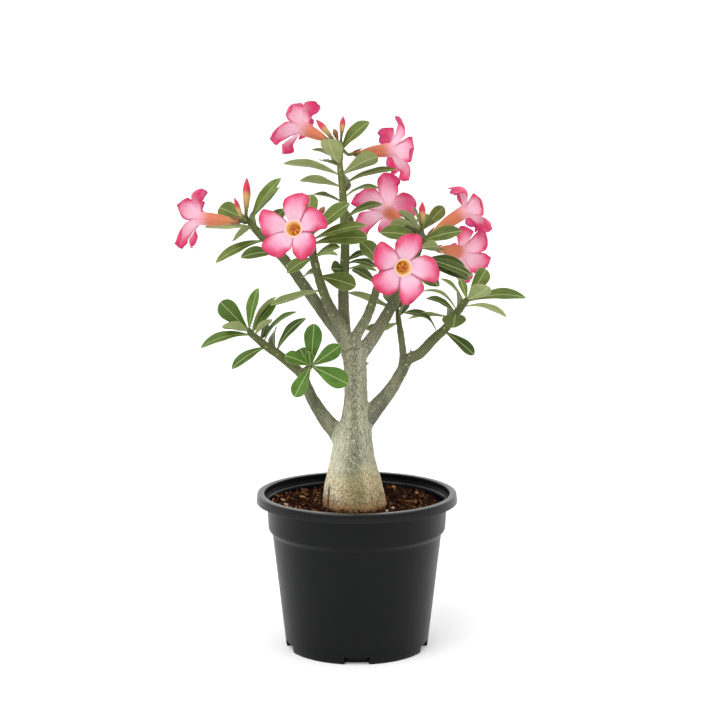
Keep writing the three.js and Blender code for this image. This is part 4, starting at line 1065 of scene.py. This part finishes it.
def leaf(root, tip, width, face, arch, blunt, growth, wave):
    """A leaf: its middle line bows by arch * 4u(1 - u), each half rises by a fold from the midrib, which
    lies in a groove, and the edges wave a little; face turns the upper side from growth toward the
    front."""
    chord = tip - root
    length = np.linalg.norm(chord)
    along = chord / length
    above = unit(growth - along * (growth @ along))
    front = np.cross(above, along)
    front = -front if front[1] > 0 else front
    normal = above * math.cos(math.radians(face)) + front * math.sin(math.radians(face))
    across = np.cross(along, normal)

    def width_at(u):
        petiole = PETIOLE_HALF_WIDTH * (1 - smooth(0.75, 1.0, u))
        return petiole + (width / 2 - petiole) * leaf_outline(u, blunt)

    def place(u, v):
        half = width_at(u)
        groove = -0.35 * np.exp(-((half * v / 0.8) ** 2)) * smooth(0, 0.2, u) * (1 - smooth(0.8, 1, u))
        swing = np.sin(7 * u + 2.5 * np.sign(v) + wave) + 0.5 * np.sin(15 * u + 4 * v + 2 * wave)
        ripple = 0.45 * swing * v * v * np.sin(np.pi * np.clip(u, 0, 1))
        fold = LEAF_FOLD * half * np.sqrt(v * v + 0.02)
        lift = arch * 4 * u * (1 - u) + fold + groove + ripple
        flat = root + chord * u[..., None] + across * (half * v)[..., None]
        return flat + normal * lift[..., None], normal

    steps = np.concatenate([np.linspace(0, 0.9, 17), [0.94, 0.97, 0.99]])
    skin, u, v, upper = blade(place, steps, 8, LEAF_THICKNESS)
    half = width_at(u)
    border = np.minimum((1 - np.abs(v)) * half, (1 - u) * length)
    return skin, {"rise": u * length, "aside": v * half, "upper": upper, "border": border}


def root_of(limb, share, tip):
    """A leaf's root, sunk in the stem halfway to its centre line."""
    centre, radius = (part[0] for part in limb.at(share)[:2])
    return centre + unit(tip - centre) * ROOT_SHARE * radius


def leaves(name):
    """All leaves of a shoot: those listed, and more on the far side, spiralling up the stem by the
    golden angle."""
    shoot = SHOOTS[name]
    sighted = Limb(shoot["stem"])
    limb = Limb.leaning(name, shoot["stem"])
    growth = FRONT if shoot.get("facing") else UP
    bottom, top = shoot["stem"][0][2], shoot["stem"][-1][2]
    draw = np.random.default_rng(SEED + bottom)
    piece = Piece()
    for height, x, y, z, width, face, arch, *blunt in shoot["leaves"]:
        tip = np.array(leant(name, height, [x, y, z]))
        root = root_of(limb, sighted.share_at(height), tip)
        skin, values = leaf(root, tip, width, face, arch, bool(blunt), growth, draw.uniform(0, 6))
        young = 0.45 * max(0, (height - bottom) / (top - bottom)) + draw.uniform(-0.05, 0.3)
        piece.add(skin, tone=min(1, max(0, young)), fresh=shoot["lush"], **values)
    count, start, end = shoot["back"]
    for i in range(count):
        share = BACK_LEAF_LOWEST + (BACK_LEAF_HIGHEST - BACK_LEAF_LOWEST) * (i + 0.5) / count
        part = ((GOLDEN_ANGLE * i) % 360) / 360
        turn = math.radians(start + (end - start) * part + draw.uniform(0, 10))
        reach = BACK_LEAF_LENGTH * draw.uniform(0.85, 1.1)
        way = np.array([0.85 * math.cos(turn), 0.85 * math.sin(turn), 0.45])
        tip = limb.at(share)[0][0] + reach * way
        root = root_of(limb, share, tip)
        wave = draw.uniform(0, 6)
        skin, values = leaf(root, tip, BACK_LEAF_WIDTH, BACK_LEAF_FACE, BACK_LEAF_ARCH, False, UP, wave)
        piece.add(skin, tone=draw.uniform(0, 0.3), fresh=shoot["lush"], **values)
    return piece.object(f"leaves_{name}")


# Blooms

def bloom_frame(entry):
    """A bloom's or bud's own directions: axis out of its end, right and top as seen from that end."""
    foot, end = (np.array(leant(entry["shoot"], math.inf, entry[key])) for key in ("foot", "end"))
    axis = end - foot
    length = np.linalg.norm(axis)
    axis = axis / length
    top = unit(UP - axis * axis[2])
    return {"foot": foot, "axis": axis, "top": top, "right": np.cross(top, axis), "length": length}


def bloom_points(place, turn, radius, sideways, s):
    """Points at a radius, sideways offset and distance along the axis, in the half plane at turn."""
    turn, radius, sideways, s = (a[..., None] for a in np.broadcast_arrays(turn, radius, sideways, s))
    out = place["right"] * np.cos(turn) + place["top"] * np.sin(turn)
    aside = place["top"] * np.cos(turn) - place["right"] * np.sin(turn)
    return place["foot"] + place["axis"] * s + out * radius + aside * sideways


def turned(place, profile, swell, ends):
    """A skin turned round a bloom's axis, and its radius at each point: profile holds the radius and
    the distance along the axis, swell scales the radius round each ring, and ends are the distances of
    the two closing points."""
    radius = profile[:, :1] * swell
    rings = bloom_points(place, circle(radius.shape[1]), radius, 0, profile[:, 1:])
    return closed(rings, *(place["foot"] + place["axis"] * s for s in ends)), radius


def petal_half_width(u):
    """From the root a quarter sine to the widest, then the square root of 1 - t^3.2 to a blunt tip."""
    growth = np.sin(np.pi / 2 * np.clip(u / PETAL_WIDEST, 0, 1))
    low = PETAL_ROOT_HALF_WIDTH + (PETAL_HALF_WIDTH - PETAL_ROOT_HALF_WIDTH) * growth
    past = np.clip((u - PETAL_WIDEST) / (1 - PETAL_WIDEST), 0, 1)
    return np.where(u < PETAL_WIDEST, low, PETAL_HALF_WIDTH * np.sqrt(1 - past**3.2))


def petal(place, turn, size, curl, wrap_back, wave):
    """A petal lies on the funnel's wall up to the mouth, then flares as 11 sin(0.75 pi u), leans over
    its clockwise neighbour by a twist, bends and slants toward it, and waves at the edge; curl bends
    the tip back as u^3, and wrap_back rolls its sides round behind it as if on a tube."""

    def surface(u, v):
        rise = np.maximum(u, 0)
        half = petal_half_width(rise) * (1 + (size - 1) * rise)
        radius = PETAL_ROOT + (PETAL_REACH * size - PETAL_ROOT) * u - 0.45 * curl * rise**3
        radius = np.where(u < 0, PETAL_ROOT - 1.3 * (1 - np.exp(18 * np.minimum(u, 0))), radius)
        half = np.where(u < 0, half * radius / PETAL_ROOT, half)
        bend = 1e-6 + wrap_back * rise * v
        sideways = half * v * np.sin(bend) / bend - PETAL_SKEW * rise**2
        rolled = half * v * (1 - np.cos(bend)) / bend
        twist = -PETAL_TWIST * v * np.clip(0.15 + 4 * rise, 0, 1) * (1 - 0.5 * rise)
        ripple = PETAL_RUFFLE * v * v * np.sin(9 * u + 2 * v) * rise
        edge = np.maximum(np.abs(v) ** 3, smooth(0.75, 1, u)) * smooth(0.25, 0.7, u)
        crinkle = np.sin(15 * u + 3 * np.sign(v) + wave) + 0.8 * np.sin(6 * v + 2 * wave + 9 * u)
        flare = PETAL_FLARE * np.where(u < 0, 0.75 * np.pi * u, np.sin(0.75 * np.pi * rise)) - curl * rise**3
        s = place["length"] - 1 + flare + twist + ripple + PETAL_CRINKLE * crinkle * edge
        s = s - PETAL_CUP * v * v * rise - rolled
        radius = radius + 0.45 * np.sin(5 * v + wave) * smooth(0.6, 1, u)
        radius = radius - PETAL_SLANT * v * half / PETAL_HALF_WIDTH * smooth(0.2, 0.8, u)
        sideways = sideways + 0.4 * np.sign(v) * v * v * np.sin(10 * u + 2 * v + wave) * smooth(0.3, 0.6, u)
        # Near the mouth the petal is curved round the axis with the funnel.
        near = 1 - smooth(0, 0.4, u)
        radius = radius + 0.22 * v * near
        angle = sideways / radius
        sideways = sideways + near * (radius * np.sin(angle) - sideways)
        radius = radius * (1 - near * (1 - np.cos(angle)))
        return bloom_points(place, turn, radius, sideways, s), place["axis"]

    steps = np.concatenate([
        [-0.34, -0.25, -0.17, -0.11, -0.07, -0.035], np.linspace(0, 0.9, 22), [0.94, 0.97, 0.99, 0.998],
    ])
    skin, u, v, upper = blade(surface, steps, 16, PETAL_THICKNESS)
    rise = np.maximum(u, 0)
    reach = PETAL_REACH - PETAL_ROOT
    side, end = (1 - np.abs(v)) * petal_half_width(rise) * size, (1 - rise) * reach * size
    rim = np.minimum(side + 7 * (1 - smooth(0.1, 0.6, rise)), end)
    edge = np.minimum(side + np.where(v > 0, 6, 0) * (1 - smooth(0.3, 0.6, rise)), end)
    edge = np.where(u < 0, FAR_FROM_EDGE, edge)
    return skin, {"rim": rim, "edge": edge, "path": u * reach, "across": v, "inside": upper}


def funnel(place):
    """The flower's funnel: the outer wall widens to the mouth under the petals, then the inner wall
    goes back to the throat's floor, both swelling in five soft ribs."""
    length = place["length"]
    floor = length - 8.5
    outer = [
        [1.9, 0], [2.3, 6], [4.2, 13], [5.6, 22], [6.4, length - 7], [6.45, length - 4], [6.7, length - 2],
        [7.6, length - 0.6], [8.4, length + 0.3],
    ]
    inner = [
        [8.7, length + 1], [7.6, length + 0.9], [6.7, length + 0.2], [6.1, length - 1.2], [5.4, length - 4],
        [4.2, length - 7], [0.6, floor],
    ]
    walls = [spline(outer, np.linspace(0, 1, 38))[0], spline(inner, np.linspace(0, 1, 24))[0]]
    profile = np.concatenate(walls)
    inside = np.repeat([[0.0], [1.0]], [38, 24], axis=0)
    turn = circle(60)
    rib = 1 + 0.05 * np.cos(5 * turn) * np.sin(np.pi * np.clip(profile[:, 1:] / length, 0, 1))
    skin, radius = turned(place, profile, rib, (0, floor))
    path = np.where(inside > 0, radius - PETAL_ROOT, profile[:, 1:] - length + 1)
    return skin, {
        "rim": FAR_FROM_EDGE, "edge": FAR_FROM_EDGE, "across": per_point(8.8 * turn / (2 * np.pi), radius),
        "path": per_point(path, radius, [1 - length, -PETAL_ROOT]),
        "inside": per_point(inside, radius, [0, 1]),
    }


def corolla(index, place, bloom):
    """The funnel and its five petals, each with its own curl, wrap and turn aside."""
    skin, values = funnel(place)
    piece = Piece().add(skin, **values)
    for k in range(PETAL_COUNT):
        turn = math.radians(bloom["roll"] + 360 / PETAL_COUNT * k + bloom["spread"][k])
        skin, values = petal(place, turn, bloom["size"], bloom["curl"][k], bloom["wrap"][k], index + 2.3 * k)
        piece.add(skin, **values)
    return piece.object(f"petals_{index}")


def calyx(index, place):
    """A small cup turned round the axis, and five lance-shaped sepals as tapering limbs."""
    rows = [[1.2, -CALYX_DEPTH], [2.1, -1.2], [2.7, -0.4], [2.7, 0.8], [2.1, 1.2]]
    profile = spline(rows, np.linspace(0, 1, 12))[0]
    piece = Piece().add(turned(place, profile, np.ones(20), (-CALYX_DEPTH, 1.2))[0])
    for k in range(SEPAL_COUNT):
        turn = math.radians(36 + 360 / SEPAL_COUNT * k)
        path = [(1.9, -0.8, 0.8), (2.8, 2.2, 0.95), (3.6, 5, 0.65), (5.0, SEPAL_LENGTH, 0.12)]
        rows = [[*bloom_points(place, turn, out, 0, s), radius] for out, s, radius in path]
        piece.add(Limb(rows).skin(8, 9))
    return piece.object(f"sepals_{index}")


def stamens(index, place):
    """The cone of anthers, grooved in five, and five threads that twist out of the throat."""
    length = place["length"]
    rows = np.array([[2.8, -8.3], [3.7, -6.4], [3.5, -4], [2.4, -2], [0.5, -0.8]]) + [0, length]
    profile = spline(rows, np.linspace(0, 1, 16))[0]
    grooves = 1 + 0.12 * np.cos(5 * circle(20))
    piece = Piece().add(turned(place, profile, grooves, (length - 8.3, length - 0.6))[0], thread=0.0)
    path = [
        (3.8, -7, 0, 0.45), (3.6, -4, 15, 0.5), (2.2, -1.4, 30, 0.5), (0.9, 0.2, 90, 0.48),
        (3.2, 0.9, 172, 0.34),
    ]
    for k in range(STAMEN_COUNT):
        first = 360 / STAMEN_COUNT * k + 20 * (index % 3)
        rows = [
            [*bloom_points(place, math.radians(first + sway), out, 0, length + s), radius]
            for out, s, sway, radius in path
        ]
        piece.add(Limb(rows).skin(6, 14), thread=1.0)
    return piece.object(f"threads_{index}")


def bud(index, entry):
    """A spindle whose three folds twist round it toward the pointed tip."""
    place = bloom_frame(entry)
    length = place["length"]
    shares = np.array([
        [0.5, -0.3 / length], [0.74, 0.1], [0.9, 0.27], [1.04, 0.5], [0.86, 0.72], [0.42, 0.9], [0.08, 1],
    ])
    profile = spline(shares * [entry["radius"], length], np.linspace(0, 1, 34))[0]
    share = profile[:, 1:] / length
    phase = (3 * circle(30) + 5.5 * share) % (2 * np.pi) / (2 * np.pi)
    folds = 0.93 + 0.14 * smooth(0.25, 0.5, share) * (1 - phase)
    skin, radius = turned(place, profile, folds, (-0.3, length + 0.1))
    fold = per_point(phase * smooth(0.25, 0.5, share), radius, [0, 1])
    return Piece().add(skin, along=per_point(share, radius, [0, 1]), fold=fold).object(f"bud_{index}_skin")


# The object

leaf_skin = material(waxy_leaf, "aside", "rise", "border", "upper", "tone", "fresh")
petal_skin = material(flower_skin, "rim", "edge", "path", "across", "inside")
bark = material(caudex_bark, "youth", "crack", "shaded", "limb")
red_bud = material(bud_skin, "along", "fold")
brown_sepal = material(sepal_skin)
pollen = material(anther, "thread")

finish_piece(pot(), material(moulded_polypropylene, "gloss"), "pot_plastic", "pot")
finish_piece(soil(), material(peat), "soil", "soil")
finish_piece(chips(), material(bark_chips, "tone"), "soil", "soil")
finish_piece(plant_body(), bark, "bark", "trunk", *(f"shoot_{name}" for name in SHOOTS))
carriers = sorted({f"shoot_{entry['shoot']}" for entry in BLOOMS + BUDS})
finish_piece(stalks(), bark, "green", *carriers)
for name in SHOOTS:
    finish_piece(leaves(name), leaf_skin, "green", f"shoot_{name}")
for index, bloom in enumerate(BLOOMS, 1):
    place = bloom_frame(bloom)
    finish_piece(corolla(index, place, bloom), petal_skin, "petal", f"corolla_{index}")
    finish_piece(calyx(index, place), brown_sepal, "sepal", f"calyx_{index}")
    finish_piece(stamens(index, place), pollen, "stamen", f"stamens_{index}")
for index, entry in enumerate(BUDS, 1):
    finish, slot_name = (red_bud, "bud") if entry["ripe"] else (brown_sepal, "sepal")
    finish_piece(bud(index, entry), finish, slot_name, f"bud_{index}")

# Floor, light and camera

floor_mesh = bpy.data.meshes.new("floor")
floor_mesh.from_pydata([(-30, -30, 0), (30, -30, 0), (30, 30, 0), (-30, 30, 0)], [], [(0, 1, 2, 3)])
floor_mesh.materials.append(material(white_paper_sweep))
floor = placed("floor", floor_mesh)

world = bpy.data.worlds.new("studio")
bpy.context.scene.world = world
world.use_nodes = True
sky = world.node_tree
sky.nodes.clear()
# The backdrop and the sides are white, and the room behind the camera is dim.
ways = node(sky, "SeparateXYZ", node(sky, "TexCoord"), out=1)
room = node(sky, "MapRange", ways, -0.7, 0.45, 0.5, 1.05)
node(sky, "OutputWorld", node(sky, "Background", "#ffffff", room))
bpy.context.scene.view_settings.view_transform = "Standard"


def softbox(name, turn, spread, power):
    """Soft light from one direction, turned by angles in degrees and spread over an angle."""
    light = bpy.data.lights.new(name, "SUN")
    light.angle = math.radians(spread)
    light.energy = power
    placed(name, light).rotation_euler = [math.radians(angle) for angle in turn]


softbox("key", (42, 0, -38), 50, 1.5)
softbox("fill", (46, 0, 50), 60, 0.7)

lens = bpy.data.cameras.new("camera")
lens.lens = 90
lens.sensor_width = 36
camera = placed("camera", lens)
camera.location = [part * MM for part in EYE]
camera.rotation_euler = (math.radians(81.5), 0, 0)
bpy.context.scene.camera = camera
